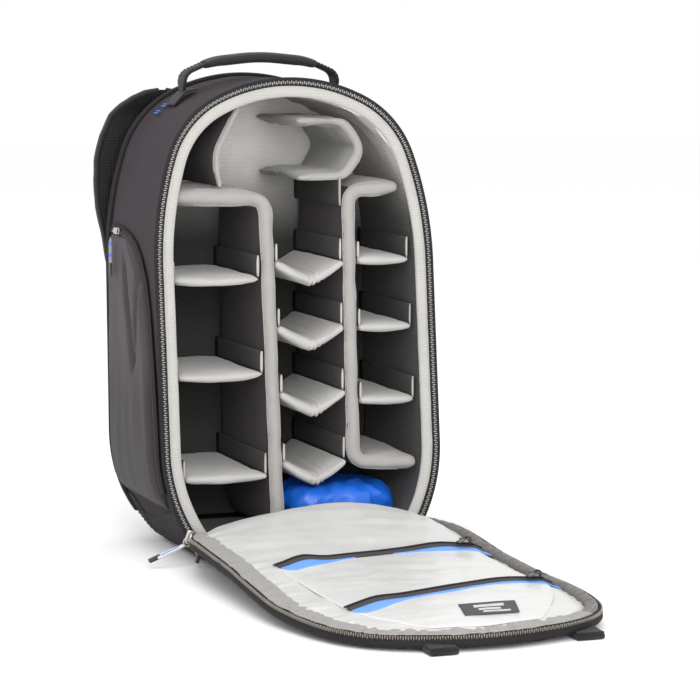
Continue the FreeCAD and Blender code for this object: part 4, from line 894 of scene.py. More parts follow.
thin_path = along_path([(-73.5, 376.0, 0), (-79.0, 408.0, 46), (-50.0, 459.0, 0)], 3.0)
divider("crown_left_pad", thin_path, 5.6, [DARK_PAD, ROLL_PAD], lambda m: m[0] > -70 and m[2] < 380,
        "crown_left_divider", fore=DIVIDER_FRONT + 1, puff=0.5, soft=0.6, seed=20.0, voxel=2.6, cap=0.9,
        deeper=2.2)
fold_path = along_path([(9.0, 386.0, 0), (60.0, 386.0, 14), (82.0, 413.0, 18), (60.0, 441.0, 14),
                        (9.0, 441.0, 0)], 2.5)
along_fold = np.linspace(0, 1, len(fold_path))
fold_thick = 6.6 + sum(more * np.exp(-((along_fold - place) / spread) ** 2)
                       for more, place, spread in ((3.4, 0.42, 0.10), (3.0, 0.64, 0.09)))
hang_front, hang_rear = float(front_y(370.0, DIVIDER_FRONT + 2)), float(rear_of(370.0, 2.0))
hanging = upright_tab(54.3, 355.0, 30.0, hang_front, hang_rear, 27.0)
hanging = (hanging[0], hanging[1], [2 - int(f) for f in hanging[2]])
divider("crown_folded_pad", fold_path, fold_thick, [GREY_PAD, ROLL_PAD, TAB], lambda m: False,
        "crown_folded_divider", fore=DIVIDER_FRONT + 1, puff=0.8, soft=2.0, seed=25.0, voxel=3.2, cap=1.8,
        extra=[hanging])


def shelf(node, bowed=0.0, drop=0.0, seed=0.0):
    """Padded shelf or sagging cradle with a tab standing at each end, fitted to its CAD node."""
    low, high = box_of(node)
    left, right, top = low[0] + 0.3, high[0] - 0.3, high[2] - TAB_RISE
    middle = top - SHELF_THICK / 2 - 0.2
    count = 70 if drop else 30
    u = np.linspace(0, 1, count)
    x = left + (right - left) * u
    if drop:
        sag = -drop * (1 - abs(2 * u - 1) ** 1.35) - 1.0 * np.exp(-((u - 0.5) / 0.06) ** 2)
    else:
        sag = -bowed * np.sin(math.pi * (u * 0.85 + 0.05))
    path = np.column_stack([x, middle + sag])
    bow = np.sin(math.pi * u)
    thick = SHELF_THICK * (1.0 + 0.16 * bow - 0.30 * smooth(u, 0.75, 1.0) * (0 if drop else 1))
    ruche = 1.4 * np.sin(u * 70) * np.exp(-((u - 0.5) / 0.16) ** 2) if drop else 0.0
    fore = front_y(path[:, 1], DIVIDER_FRONT + 1.0) - 1.0 * bow + ruche
    rear = rear_of(path[:, 1], 2.0)
    slab = pad_slab(path, thick, fore, rear, rows=22, puff=1.2, soft=0.8, seed=seed)[:2]
    slab = inflate(*slab, 3.4, 0.9)
    if drop:
        tip, front = left + (right - left) * 0.54, float(front_y(middle - drop, DIVIDER_FRONT + 1.0))
        swollen = np.array(slab[0], float)
        depth = np.clip(swollen[:, 1] - front, 0.0, None)
        away = (swollen[:, 0] - tip) / (8.0 + 0.10 * depth)
        fold = np.sin((swollen[:, 0] - tip) * 2 * math.pi / (5.2 + 0.05 * depth) + seed)
        swollen[:, 2] += 1.5 * fold * np.exp(-away ** 2 - depth / 46.0)
        slab = (swollen, slab[1])
    fore_tab = float(front_y(top + TAB_RISE, DIVIDER_FRONT + 2))
    rear_tab = float(rear_of(top, 2.0))
    tabs = [upright_tab(left + 1.6, top - 3.0, TAB_RISE * 0.8 + 2.0, fore_tab, rear_tab, seed + 3),
            upright_tab(right - 1.6, top - 3.0, TAB_RISE + 1.8, fore_tab, rear_tab, seed + 6)]
    points, faces = join([slab] + [tab[:2] for tab in tabs])
    shown = [0] * len(slab[1])
    for tab in tabs:
        shown += [0 if f else 1 for f in tab[2]]
    pad = piece(node + "_pad", points, faces, [LIGHT_PAD, TAB], node, "divider_fabric", shown=shown,
                replaces=[node])


for number in (1, 2, 3):
    shelf("left_shelf_%d" % number, bowed=2.2, seed=30.0 + 7 * number)
    shelf("right_shelf_%d" % number, bowed=0.8, seed=60.0 + 7 * number)
for number in (1, 2, 3, 4):
    shelf("centre_cradle_%d" % number, drop=19.0, seed=90.0 + 7 * number)

# ---------------------------------------------------------------- rain cover, crumpled under the dividers
cover_low, cover_high = box_of("rain_cover")
cover_size = (cover_high - cover_low) / 2
cover_mid = (cover_high + cover_low) / 2
edit = bmesh.new()
bmesh.ops.create_icosphere(edit, subdivisions=6, radius=1.0)
ball = np.array([v.co for v in edit.verts])
edit.verts.index_update()
cover_faces = [tuple(v.index for v in f.verts) for f in edit.faces]
edit.free()
shape = np.sign(ball) * np.abs(ball) ** 0.55
shape /= np.maximum(1.0, np.abs(shape).max(axis=1, keepdims=True))
cover = cover_mid + shape * (cover_size - 4.5)
spread = np.arctan2(cover[:, 0] - (cover_mid[0] + 14), cover[:, 2] - (cover_high[2] + 26))
ray = np.column_stack([spread * 62, cover[:, 1] * 0.35, cover[:, 2] * 0.30])
broad_folds = 1 - 2 * np.abs(ripple(ray, 15.0, 1.0))
fine_folds = 1 - 2 * np.abs(ripple(ray + ripple(cover, 20.0, 2.0)[:, None] * 6, 7.0, 3.0))
crumple = 1 - 2 * np.abs(ripple(cover, 13.0, 5.0))
cover = cover + unit(shape) * (5.4 * broad_folds + 1.8 * fine_folds + 1.4 * crumple - 2.8)[:, None]
cover[:, 0] += 9.0 * smooth(cover[:, 0], cover_mid[0], cover_high[0])
cover = np.clip(cover, cover_low + [-2, -1, 0.3], cover_high + [9, 2, 3])
cover, cover_faces = inflate(cover, cover_faces, 3.6, 1.5)
rain = piece("rain_cover_cloth", cover, cover_faces, BLUE, "rain_cover", "blue_fabric",
             replaces=["rain_cover"])

# ---------------------------------------------------------------- lid, lying open in front of the base
# heights of the lid's rim above the floor and of its middle above that, by distance in front of the base
LEFT_RIM = [(8, 26), (35, 36), (95, 41), (205, 35), (270, 28), (325, 21), (390, 16), (440, 14.5), (480, 15)]
RIGHT_RIM = [(8, 28), (28, 37), (60, 35), (98, 30), (168, 24), (261, 21), (317, 20), (390, 19), (440, 17.5),
             (480, 16)]
MIDDLE_RISE = [(10, 16), (36, 25), (60, 22), (100, 15), (150, 9), (193, 6), (260, 6), (345, 9), (400, 7),
               (450, 3.5), (474, 0)]
SKEW_RUN = (230.0, 470.0)           # the lid's far end turns to the right over this stretch,
SKEW, CORNER_SKEW = 9.0, 7.0        # by this much, and its right corner by this much more
ZIPS = {
    "upper": ((5.0, -193.0), 118.0, math.radians(16.0), ((4.5, -0.76, 0.17), (2.6, 0.62, 0.26))),
    "lower": ((16.5, -345.5), 113.0, math.radians(15.5), ((2.6, -0.74, 0.2), (1.6, 0.55, 0.3))),
}                           # middle, half length, turn, and where each bulges: (height, place, spread)
lid_half = half_width(0.0)


def lid_skew(x, y):
    """How far the soft lid lies to the right of its straight plan."""
    return smooth(-np.asarray(y, float), *SKEW_RUN) * (SKEW + CORNER_SKEW * smooth(x, 0.0, 110.0))


def rim_height(y, side):
    """Height of the lid's rim, from the left side, 0, to the right one, 1."""
    left, right = ramp(-y, LEFT_RIM), ramp(-y, RIGHT_RIM)
    return left + (right - left) * side


def lid_top(x, y):
    """Height of the lid's upper face, in the unshifted plan."""
    x, y = np.asarray(x, float), np.asarray(y, float)
    u = np.clip(x / np.maximum(lid_half(LID_SHIFT - y), 1.0), -1.0, 1.0)
    broad = 1 - np.abs(u) ** 2.6
    near = 1 - smooth(-y, 40.0, 150.0)
    from_peak = np.where(u < 0.12, (0.12 - u) / 1.12, (u - 0.12) / 0.88)
    hump = np.maximum(np.cos(np.clip(from_peak, 0, 1) * math.pi / 2), 0.0) ** 0.85
    bulge = 0.0
    for (mx, my), half, turn, bumps in ZIPS.values():
        dx, dy = x + lid_skew(x, y) - mx, y - my
        along, aside = dx * math.cos(turn) + dy * math.sin(turn), dy * math.cos(turn) - dx * math.sin(turn)
        for height, place, spread in bumps:
            bulge = bulge + height * np.exp(-((along / half - place) / spread) ** 2 - (aside / 17.0) ** 2)
    gutter = 4.5 * smooth(u, 0.78, 0.92) + 1.5 * smooth(-u, 0.82, 0.93)
    middle_z = ramp(-y, MIDDLE_RISE) * (broad * (1 - near) + hump * near)
    return rim_height(y, (u + 1) / 2) + middle_z + bulge - gutter


def on_lid(x, y, lift=0.0):
    """Points on the lid's upper face."""
    x, y = np.broadcast_arrays(np.asarray(x, float), np.asarray(y, float))
    return np.stack([x + lid_skew(x, y), y, lid_top(x, y) + lift], axis=-1)


def lid_piece(name, mesh, look, slot, replaces=(), shown=None):
    """Part of the soft lid: it rides on the lid, with a mesh of its own."""
    made = piece(name, *mesh, look, "lid", slot, shown=shown, replaces=replaces)
    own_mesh(made)
    return made


def flat_shell(grid, thick):
    """Sheet of a thickness below a grid that lies flat."""
    return shell(grid, thick, normals=facing(UP, grid))


def rim_points(offset, start, count, lift=0.0):
    """Points and outward vectors along the lid's rim, from the right hinge corner round to the left one."""
    line = resample(above(outline(offset), LID_SHIFT + start), count)
    x, y = line[:, 0], LID_SHIFT - line[:, 1]
    across = unit(np.stack([-np.gradient(y), np.gradient(x)], axis=1))
    z = rim_height(y, smooth(x, -60.0, 60.0)) + lift
    return np.column_stack([x + lid_skew(x, y), y, z]), np.column_stack([across, 0 * x])


def lid_grid(offset, start, rows, columns):
    """Plan of a grid over the lid inside a rim offset, before the lid's skew."""
    covered = closing_rows(LID_SHIFT + start, float(outline(offset)[:, 1].max()) - 0.4, rows)
    u = np.sin(np.linspace(-math.pi / 2, math.pi / 2, columns) * 0.999)
    x = half_width(offset)(covered)[:, None] * u[None, :]
    return x, np.broadcast_to((LID_SHIFT - covered)[:, None], x.shape)


HINGE_START = 30.0
x, y = lid_grid(-11.5, HINGE_START, 190, 110)
lining_top = on_lid(x, y, -0.6)
wrinkle = (1 - np.abs(ripple(np.stack([x * 0.35, y, 0 * x], axis=2), 34.0, 3.0)) * 2) * 0.9
wrinkle += ripple(lining_top, 22.0, 9.0) * 0.7 + ripple(lining_top, 60.0, 15.0) * 1.6
towards_rim = smooth(np.abs(x) / lid_half(LID_SHIFT - y), 0.70, 0.90)
wrinkle += 1.5 * towards_rim * ripple(np.stack([x * 0.2, y, 0 * x], axis=2), 7.0, 12.0)
lining_top[:, :, 2] += wrinkle
lid_liner = lid_piece("lid_lining_cloth", flat_shell(lining_top, 1.2), LID_LINING, "grey_lining",
                      replaces=["lid_lining", "lid_padding"])

# outer fabric: a side wall all round, in a near-black copy of the charcoal that is painted shade, and the
# panel that lies on the floor
rim, rim_out = rim_points(0.0, 12.0, 360)
levels = [(0.2, -0.8), (1.8, -1.6), (2.3, -5.0), (3.2, -6.6), (3.3, -8.2), (2.2, -9.6), (-0.6, -10.4),
          (-4.0, -10.6)]
wall = np.stack([rim + rim_out * off + UP * drop for off, drop in levels], axis=1)
slack = 0.8 * ripple(wall, 40.0, 2.0) + 0.3 * ripple(wall, 12.0)
wall[:, :, :2] += rim_out[:, None, :2] * slack[:, :, None]
wall[:, :, 2] = np.maximum(wall[:, :, 2], 0.25)
lid_piece("lid_side_wall", shell(wall, 1.4), LID_EDGE_PAINTED_SHADE, "charcoal_fabric")
x, y = lid_grid(-1.0, 9.0, 84, 60)
under = on_lid(x, y)
edge_z = rim_height(y, smooth(x, -60, 60)) - 10.4
raised = smooth(np.abs(x) / lid_half(LID_SHIFT - y), 0.5, 0.98) ** 1.3
raised = np.maximum(raised, smooth(-y, 455.0, 478.0))
under[:, :, 2] = 0.3 + np.maximum(edge_z - 0.3, 0.0) * raised
lid_piece("lid_outer_panel", flat_shell(under, -1.6), CHARCOAL, "charcoal_fabric", replaces=["lid_shell"])

# rim: dark tape that faces outwards, teeth along its upper edge, light gathered binding over it
tape_rim, tape_across = rim_points(2.0, 7.0, 460, -3.4)
lid_piece("lid_tape", tube(tape_rim, tape_across, oval(7.0, 1.6, 12, 4.0)), TAPE, "zip_tape",
          replaces=["lid_zip_tape"])
teeth_rim, teeth_across = rim_points(3.1, 7.0, 900, -1.9)
lid_piece("lid_teeth", row_of(teeth_rim, teeth_across, 2.3, (1.35, 3.4, 1.7), 0.35, 0.3), LID_COIL,
          "zip_coil", replaces=["lid_zip_coil"])
bind_rim, bind_across = rim_points(-9.0, 14.0, 1000, -0.4)
gathers = ripple(bind_rim, 6.0, 2.0)
to_right = smooth(bind_rim[:, 0], 60.0, 108.0) * smooth(bind_rim[:, 1], -462.0, -436.0)
bind_rim = bind_rim + bind_across * (0.9 * ripple(bind_rim, 16.0, 6.0) + 3.4 * to_right)[:, None]
bind_rim = bind_rim + UP * (1.1 * gathers - 1.2 * to_right)[:, None]
bind_size = np.column_stack([1 + 0.05 * ripple(bind_rim, 11.0, 1.0) - 0.40 * to_right,
                             1 + 0.28 * gathers + 0.45 * to_right])
points, faces = tube(bind_rim, UP, oval(20.5, 5.8, 22, 2.4), scale=bind_size)
# faces on the binding's right side take its darker copy: painted shade
shaded = [int(m[0] > 88.0 and m[1] > -440.0) for m in middles_of(points, faces)]
lid_piece("lid_binding_roll", (points, faces), [LID_BINDING, LID_BINDING_PAINTED_SHADE], "binding",
          replaces=["lid_binding"], shown=shaded)
stitch_rim = rim_points(-3.6, 10.0, 500, 2.2)[0]
lid_piece("lid_binding_stitches", row_of(stitch_rim, UP, 3.4, (2.2, 0.6, 0.6), 0.15), LIGHT_STITCH, "binding")


# lid pockets: panels, dark zips that run a little askew, blue trims beside them
def zip_line(name, across, count=160, start=-1.0, end=1.0):
    """Plan points along a lid zip, that far to its near side.  The lid's skew is taken out again."""
    (mx, my), half, turn, _ = ZIPS[name]
    along = np.linspace(start, end, count) * half
    across = np.broadcast_to(np.asarray(across, float), along.shape)
    x = mx + along * math.cos(turn) - across * math.sin(turn)
    y = my + along * math.sin(turn) + across * math.cos(turn)
    return x - lid_skew(x, y), y


def zip_band(name, near, far, lift, columns=8, count=160, start=-1.0, end=1.0):
    """Grid between two distances beside a lid zip; each may have a value for each point along it."""
    rows = []
    for share in np.linspace(0, 1, columns):
        across = np.asarray(near, float) * (1 - share) + np.asarray(far, float) * share
        rows.append(on_lid(*zip_line(name, across, count, start, end), lift))
    return np.array(rows)


PANEL_COLUMNS = 90
panel_u = np.linspace(-1, 1, PANEL_COLUMNS)


def pocket_panel(name, node, near, far, rise, slack, creases, widening=0.0):
    """Pocket panel between two edges in plan; slack and creases are (height, size of feature, seed)."""
    share = np.linspace(0, 1, 60)[:, None]
    x, y = (a[None, :] * (1 - share) + b[None, :] * share for a, b in zip(near, far))
    x = x + widening * np.sin(math.pi * share) * (np.sign(panel_u) * abs(panel_u) ** 4)[None, :]
    panel = on_lid(x, y, 0.9)
    puffed = np.sin(math.pi * share) ** 0.6 * np.sin(math.pi * (panel_u[None, :] + 1) / 2) ** 0.5
    folds = creases[0] * (1 - 2 * abs(ripple(panel * [0.5, 1, 1], *creases[1:])))
    panel[:, :, 2] += puffed * (rise + slack[0] * ripple(panel, *slack[1:]) + folds)
    return lid_piece(name, flat_shell(panel, 0.9), LID_POCKET, "pocket_panel", replaces=[node])


upper_pocket = pocket_panel("lid_upper_pocket", "lid_mesh_pocket", zip_line("upper", -4.0, PANEL_COLUMNS),
                            zip_line("lower", 4.0, PANEL_COLUMNS), 1.6, (1.2, 60.0, 31.0), (1.3, 26.0, 33.0))
end_y = -452.0 - 8.0 * (1 - panel_u ** 2)
end_x = half_width(-14.0)(LID_SHIFT - end_y) * panel_u * 0.93
lower_pocket = pocket_panel("lid_lower_pocket", "lid_flat_pocket", zip_line("lower", -4.0, PANEL_COLUMNS),
                            (end_x, end_y), 1.2, (1.0, 50.0, 41.0), (1.2, 24.0, 43.0), 6.0)

tapes, trims, rows = [], [], []
along = np.linspace(-1, 1, 160)
TRIMS = {
    "upper": 6.0 + 13.0 * smooth(-along, 0.26, 0.80) + 9.0 * smooth(along, 0.02, 0.55),
    "lower": 11.0 + 9.0 * smooth(-along, 0.45, 0.85) + 4.0 * smooth(along, 0.3, 0.8),
}
for name in ZIPS:
    bands = zip_band(name, 6.2, -6.2, 2.6, end=1.07)
    bands[:, :, 2] += 1.5 * np.sin(np.linspace(0, math.pi, bands.shape[0]))[:, None]
    tapes.append(flat_shell(bands, 1.6))
    centre = on_lid(*zip_line(name, 0.0, 260, end=1.07), 4.3)
    rows.append(row_of(centre, UP, 1.7, (1.0, 3.4, 1.3), 0.2, 0.25))
    corner = 1 - 0.75 * (1 - np.sqrt(np.clip((along + 1) / 0.07, 0, 1)))
    trims.append(flat_shell(zip_band(name, -5.4, -TRIMS[name] * corner, 2.1, end=1.10), 1.2))
lid_piece("lid_zip_tapes", join(tapes), LID_TAPE, "zip_tape", replaces=["lid_pocket_zips"])
lid_piece("lid_zip_teeth", join(rows), PIPING, "zip_coil")
lid_piece("lid_blue_trims", join(trims), BLUE_TRIM, "blue_fabric", replaces=["lid_pocket_trims"])

# plain label with three pale bars
label_corners = np.array([(2.0, -405.6), (54.9, -404.6), (45.9, -438.3), (-3.9, -436.7)])


def on_label(s_low, s_high, t_low, t_high, lift):
    """Grid on part of the label, by shares along and across it."""
    s, t = np.meshgrid(np.linspace(s_low, s_high, 30), np.linspace(t_low, t_high, 12))
    s, t = s[..., None], t[..., None]
    plan = ((1 - s) * (1 - t) * label_corners[0] + s * (1 - t) * label_corners[1] + s * t * label_corners[2]
            + (1 - s) * t * label_corners[3])
    skew = smooth(-plan[..., 1], *SKEW_RUN) * SKEW
    grid = on_lid(plan[..., 0] - skew, plan[..., 1], lift)
    grid[..., 2] += 0.5 * ripple(grid * [1, 1, 0], 22.0, 51.0)
    return grid


lid_piece("lid_label_patch", flat_shell(on_label(0, 1, 0, 1, 3.8), 1.0), LABEL, "label_cloth",
          replaces=["lid_label"])
BARS = ((0.24, 0.78, 0.22, 0.42), (0.30, 0.70, 0.55, 0.68), (0.36, 0.86, 0.78, 0.88))   # shares of the label
lid_piece("lid_label_bars", join([flat_shell(on_label(*bar, 4.2), 0.6) for bar in BARS]), LABEL_PRINT,
          "label_cloth")

# webbing tabs that stick out under the lid's far edge
tabs = []
for x, end in ((-52.0, -486.0), (88.0, -470.0)):
    run = np.array([(x, end + 40, 7.0), (x, end + 20, 4.6), (x, end + 8, 3.2), (x, end, 3.2)])
    run[:, 0] += lid_skew(run[:, 0], run[:, 1])
    tabs.append(tube(resample(run, 30), UP, oval(27.0, 5.6, 16, 5.0)))
    tabs.append(tube(resample(run[1:] + [0, -0.4, 3.4], 16), UP, oval(25.6, 1.8, 16, 5.0)))
lid_piece("lid_tabs", join(tabs), WEBBING, "webbing", replaces=["lid_webbing_tabs"])

# cloth that bends at the hinge, from a little inside the lid to the sill of the tub
CLOTH_START, CLOTH_RUN = -33.0, 34.0
u = np.linspace(-1, 1, 70)
hinge_half = float(half_width(-12.5)(LID_SHIFT + HINGE_START))
hinge_share = np.linspace(0, 1, 22)[:, None]
arching = np.sin(math.pi * hinge_share)
drop = hinge_share ** 1.25
hinge_z = lid_top(hinge_half * u, CLOTH_START) * (1 - drop) + (FLOOR + 1.6) * drop + 2.0 * arching - 0.8
hinge_x = hinge_half * u * (1 - 0.04 * hinge_share)
hinge_y = CLOTH_START + CLOTH_RUN * hinge_share
hinge = np.stack(np.broadcast_arrays(hinge_x, hinge_y, hinge_z), axis=2)
hinge[:, :, 2] += ripple(hinge * [0.6, 1.6, 1], 18.0, 61.0) * arching
hinge_points, hinge_faces = flat_shell(hinge, 1.6)
upper_count = (hinge.shape[0] - 1) * (hinge.shape[1] - 1)
# the hinge cloth's underside takes the near-black lid edge material: painted shade
hinge_cloth = piece("lid_hinge_cloth", hinge_points, hinge_faces, [LID_LINING, LID_EDGE_PAINTED_SHADE], None, "grey_lining",
                    shown=[int(k >= upper_count) for k in range(len(hinge_faces))],
                    replaces=["lid_hinge_strip"])
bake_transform(hinge_cloth)

# ---------------------------------------------------------------- side pockets
POCKET_REAR = 189.0


def pocket_y(z):
    """Front edge of a side pocket at a height: a straight front that turns back in a wide arc at its top."""
    return ramp(z, [(52, 28.0), (64, 25.0), (118, 30.5), (196, 44.0), (250, 56.0), (280, 68.0), (300, 84.0),
                    (312, 100.0), (320, 122.0), (326, 160.0)])


def side_pocket(side, node, seed):
    """Bulging fabric pocket on one side, with the long slack folds of an empty pocket."""
    z = np.concatenate([np.linspace(53, 300, 70), np.linspace(302, 324, 22)])
    u = np.linspace(0, 1, 56)
    y = pocket_y(z)[:, None] * (1 - u) + POCKET_REAR * u
    zz = np.broadcast_to(z[:, None], y.shape)
    skin_x = skin_half(zz)
    rim_fade = (np.minimum(1, u / 0.10) * np.minimum(1, (1 - u) / 0.06))[None, :]
    top_fade = smooth(324 - z, 0, 14)[:, None]
    low_fade = smooth(z, 52, 66)[:, None]
    puff = 7.0 * np.sqrt(np.clip(rim_fade * top_fade * low_fade, 0, 1))
    folds = 0.0
    for k, slope in enumerate((-0.22, 0.26)):       # two folds that part upwards
        swerve = 4 * ripple(np.stack([zz, zz * 0, zz * 0], 2), 60.0, seed + k)
        away = y - (94 + slope * (z - 190))[:, None] - swerve
        folds = folds + 4.2 * np.exp(-(away / 5.5) ** 2)
    folds = folds * (smooth(z, 180, 205) * smooth(316 - z, 0, 30))[:, None]
    slack = 1.1 * ripple(np.stack([y * 0, y, zz * 0.35], 2), 26.0, seed) * rim_fade
    x = np.maximum(skin_x + 0.6 + puff - folds + slack, skin_x + 0.3)
    grid = np.stack([side * x, y, zz], axis=2)
    sheet = shell(grid, 1.4, normals=facing((side, 0, 0), grid))
    pocket = piece(node + "_cloth", *sheet, POCKET, "bag", "charcoal_fabric", replaces=[node])


side_pocket(-1, "left_side_pocket", 3.0)
side_pocket(1, "right_side_pocket", 8.0)

zip_z = np.concatenate([np.linspace(70, 300, 70), np.linspace(301, 325, 40)])
bands, teeth_parts, top_hems = [], [], []
for side in (-1, 1):
    line_y = pocket_y(zip_z) - 3.6
    run = np.column_stack([side * (skin_half(zip_z) + 1.6), line_y, zip_z])
    tail_x = side * (skin_half(326.5) + 1.6)
    tail = np.linspace((tail_x, line_y[-1] + 4, 325.5), (tail_x, POCKET_REAR, 325.5), 20)
    path = resample(np.vstack([run, tail]), 260)
    outward_x = np.array([float(side), 0.0, 0.0])
    bands.append(tube(path, outward_x, oval(13.0, 2.4, 12, 3.5)))
    teeth_parts.append(row_of(path + outward_x * 1.5, outward_x, 1.8, (1.1, 3.2, 1.2), 0.2, 0.25))
    top_hems.append(tube(resample(path, 200) + [side * 0.2, -4.6, 1.5], outward_x, oval(2.6, 2.6, 10)))
piece("pocket_zip_tapes", *join(bands), TAPE, "bag", "zip_tape", replaces=["side_pocket_zips"])
piece("pocket_zip_teeth", *join(teeth_parts), LID_TAPE, "bag", "zip_coil")
piece("pocket_zip_welts", *join(top_hems), CHARCOAL, "bag", "charcoal_fabric")

# ---------------------------------------------------------------- grab handle
HANDLE_Y, HANDLE_FOOT, HANDLE_TOP = 150.0, 470.0, 507.6
FOOT_X, GRIP_HALF = 84.0, 61.5      # half the distance between the feet, and half the padded grip's length
half_arch = [(-FOOT_X, HANDLE_FOOT, 0), (-FOOT_X, 489.0, 13), (-54, 502.0, 80)]
arch = half_arch + [(0, HANDLE_TOP, 200)] + [(-x, z, r) for x, z, r in reversed(half_arch)]
arch = resample(rounded(arch, 1.5, closed=False), 150)
arch_path = np.column_stack([arch[:, 0], np.full(len(arch), HANDLE_Y), arch[:, 1]])
arch_up = np.column_stack([-np.gradient(arch[:, 1]), np.zeros(len(arch)), np.gradient(arch[:, 0])])
flatness = smooth(arch[:, 1], HANDLE_FOOT, HANDLE_FOOT + 12)
web_size = np.column_stack([0.55 + 0.45 * flatness, np.ones(len(arch))])
web_parts = [tube(arch_path, arch_up, oval(25.0, 4.0, 20, 5.0), scale=web_size)]
stitch_up = unit(arch_up)[12:-12]
stitch_path = arch_path[12:-12] + stitch_up * 2.2
for shift in (-9.0, 9.0):
    web_parts.append(row_of(stitch_path + shift * REARWARDS, stitch_up, 4.0, (2.8, 0.7, 0.6), 0.15))
piece("handle_webbing", *join(web_parts), WEBBING, "grab_handle", "webbing", replaces=["grab_handle_webbing"])
grip_cut = np.abs(arch[:, 0]) < GRIP_HALF - 0.5
grip_line, grip_up = arch_path[grip_cut], arch_up[grip_cut]
to_end = GRIP_HALF - np.abs(grip_line[:, 0])
swell = 0.80 + 0.20 * np.sqrt(np.clip(to_end / 6.0, 0, 1)) + 0.03 * ripple(grip_line, 14.0)
swell_up = 0.62 + 0.38 * np.sqrt(np.clip(to_end / 22.0, 0, 1))
grip_mesh = tube(grip_line - [0, 0, 0.6], grip_up, oval(31.0, 11.0, 24, 2.8),
                 scale=np.column_stack([swell, swell_up]))
grip = piece("handle_grip", *grip_mesh, GRIP, "grab_handle", "grip_fabric", replaces=["grab_handle_grip"])
grip_seams = []
for shift in (-13.6, 13.6):
    grip_seams.append(row_of(grip_line[4:-4] + [0, shift, 1.9], grip_up[4:-4], 3.6, (2.4, 0.7, 0.7), 0.15))
piece("handle_grip_stitches", *join(grip_seams), PIPING, "grab_handle", "piping")
foot_parts = []
skin_top = float(np.interp(78.0, gx[::-1], gz[::-1]))
for side in (-1, 1):
    patch = np.array([(side * 97.0, HANDLE_Y, skin_top - 11.0), (side * FOOT_X, HANDLE_Y, HANDLE_FOOT + 1.0),
                      (side * 72.0, HANDLE_Y, skin_top + 5.5)])
    foot_parts.append(tube(resample(patch, 24), [side * 0.6, 0, 0.8], oval(29.0, 2.2, 16, 5.0)))
piece("handle_feet", *join(foot_parts), WEBBING, "bag", "webbing")

# ---------------------------------------------------------------- back pads
PAD_RISE = 9.6


def back_pad(loop, seed, channels=()):
    """Padded panel on the back: an outline in the front view, domed towards the wearer."""
    edge_loop = resample(rounded(loop, 2.0), 180, closed=True)
    middle = edge_loop.mean(axis=0)
    rings = []
    for share in np.concatenate([[0.0], np.linspace(0.02, 1, 34)]):
        flat = middle + (edge_loop - middle) * (1 - share * 0.985)
        inside = np.clip(share / 0.30, 0, 1)
        rise = PAD_RISE * np.sqrt(1 - (1 - inside) ** 2)
        for line, depth in channels:
            rise = rise - depth * np.exp(-((flat[:, 1] - line) / 5.0) ** 2) * smooth(inside, 0.1, 0.6)
        out = back_y(flat[:, 1]) + 0.6 + np.maximum(rise, 0.0)
        rings.append(np.column_stack([flat[:, 0], out, flat[:, 1]]))
    grid = np.array(rings)
    grid[1:, :, 1] += 0.5 * ripple(grid[1:], 34.0, seed)
    count = grid.shape[1]
    points = grid.reshape(-1, 3)
    faces = grid_faces(len(rings), count, wrap=True)
    faces.append(tuple(range(count)))
    faces.append(tuple(reversed(range((len(rings) - 1) * count, len(rings) * count))))
    return points, faces


LEFT_PAD = [(-120, 152, 24), (-16, 152, 24), (-16, 406, 24), (-120, 406, 24)]
RIGHT_PAD = [(-x, z, r) for x, z, r in LEFT_PAD[::-1]]
LUMBAR_PAD = [(-88, 78, 24), (88, 78, 24), (88, 138, 24), (-88, 138, 24)]
CHANNELS = ((236.0, 4.5), (322.0, 4.5))     # height and depth of the grooves across the long pads
pad_meshes = [back_pad(LEFT_PAD, 1.0, CHANNELS), back_pad(RIGHT_PAD, 4.0, CHANNELS),
              back_pad(LUMBAR_PAD, 7.0)]
pads = piece("back_pads_mesh", *join(pad_meshes), MESH_PAD, "bag", "air_mesh", replaces=["back_pads"])
pad_edges = []
for loop in (LEFT_PAD, RIGHT_PAD, LUMBAR_PAD):
    edge_loop = resample(rounded(loop, 2.0), 220, closed=True)
    path = np.column_stack([edge_loop[:, 0], back_y(edge_loop[:, 1]) + 1.2, edge_loop[:, 1]])
    pad_edges.append(tube(path, REARWARDS, oval(3.4, 2.8, 10), closed=True))
piece("back_pad_piping", *join(pad_edges), PIPING, "bag", "piping")

# ---------------------------------------------------------------- shoulder straps
STAND_OFF, STRAP_THICK = 18.0, 12.0
# the left strap's edges in the front view, (height, x)
LEFT_EDGE = [(196, -131.0), (228, -138.0), (260, -137.5), (279, -139.0), (290, -142.5), (320, -147.5),
             (347, -153.0), (375, -154.5), (395, -153.5), (422, -147.5), (444, -137.0), (455, -127.5),
             (463, -117.0), (469, -104.0), (471, -90.0)]
RIGHT_EDGE = [(196, -92.0), (240, -88.0), (290, -89.0), (340, -95.0), (380, -88.0), (420, -66.0),
              (440, -58.0), (455, -57.0), (463, -61.0), (469, -70.0), (471, -80.0)]


def strap_y(z):
    """Front face of a hanging strap at a height."""
    return back_y(z) + STAND_OFF + 2.0 * np.sin(math.pi * (z - 200) / 260)


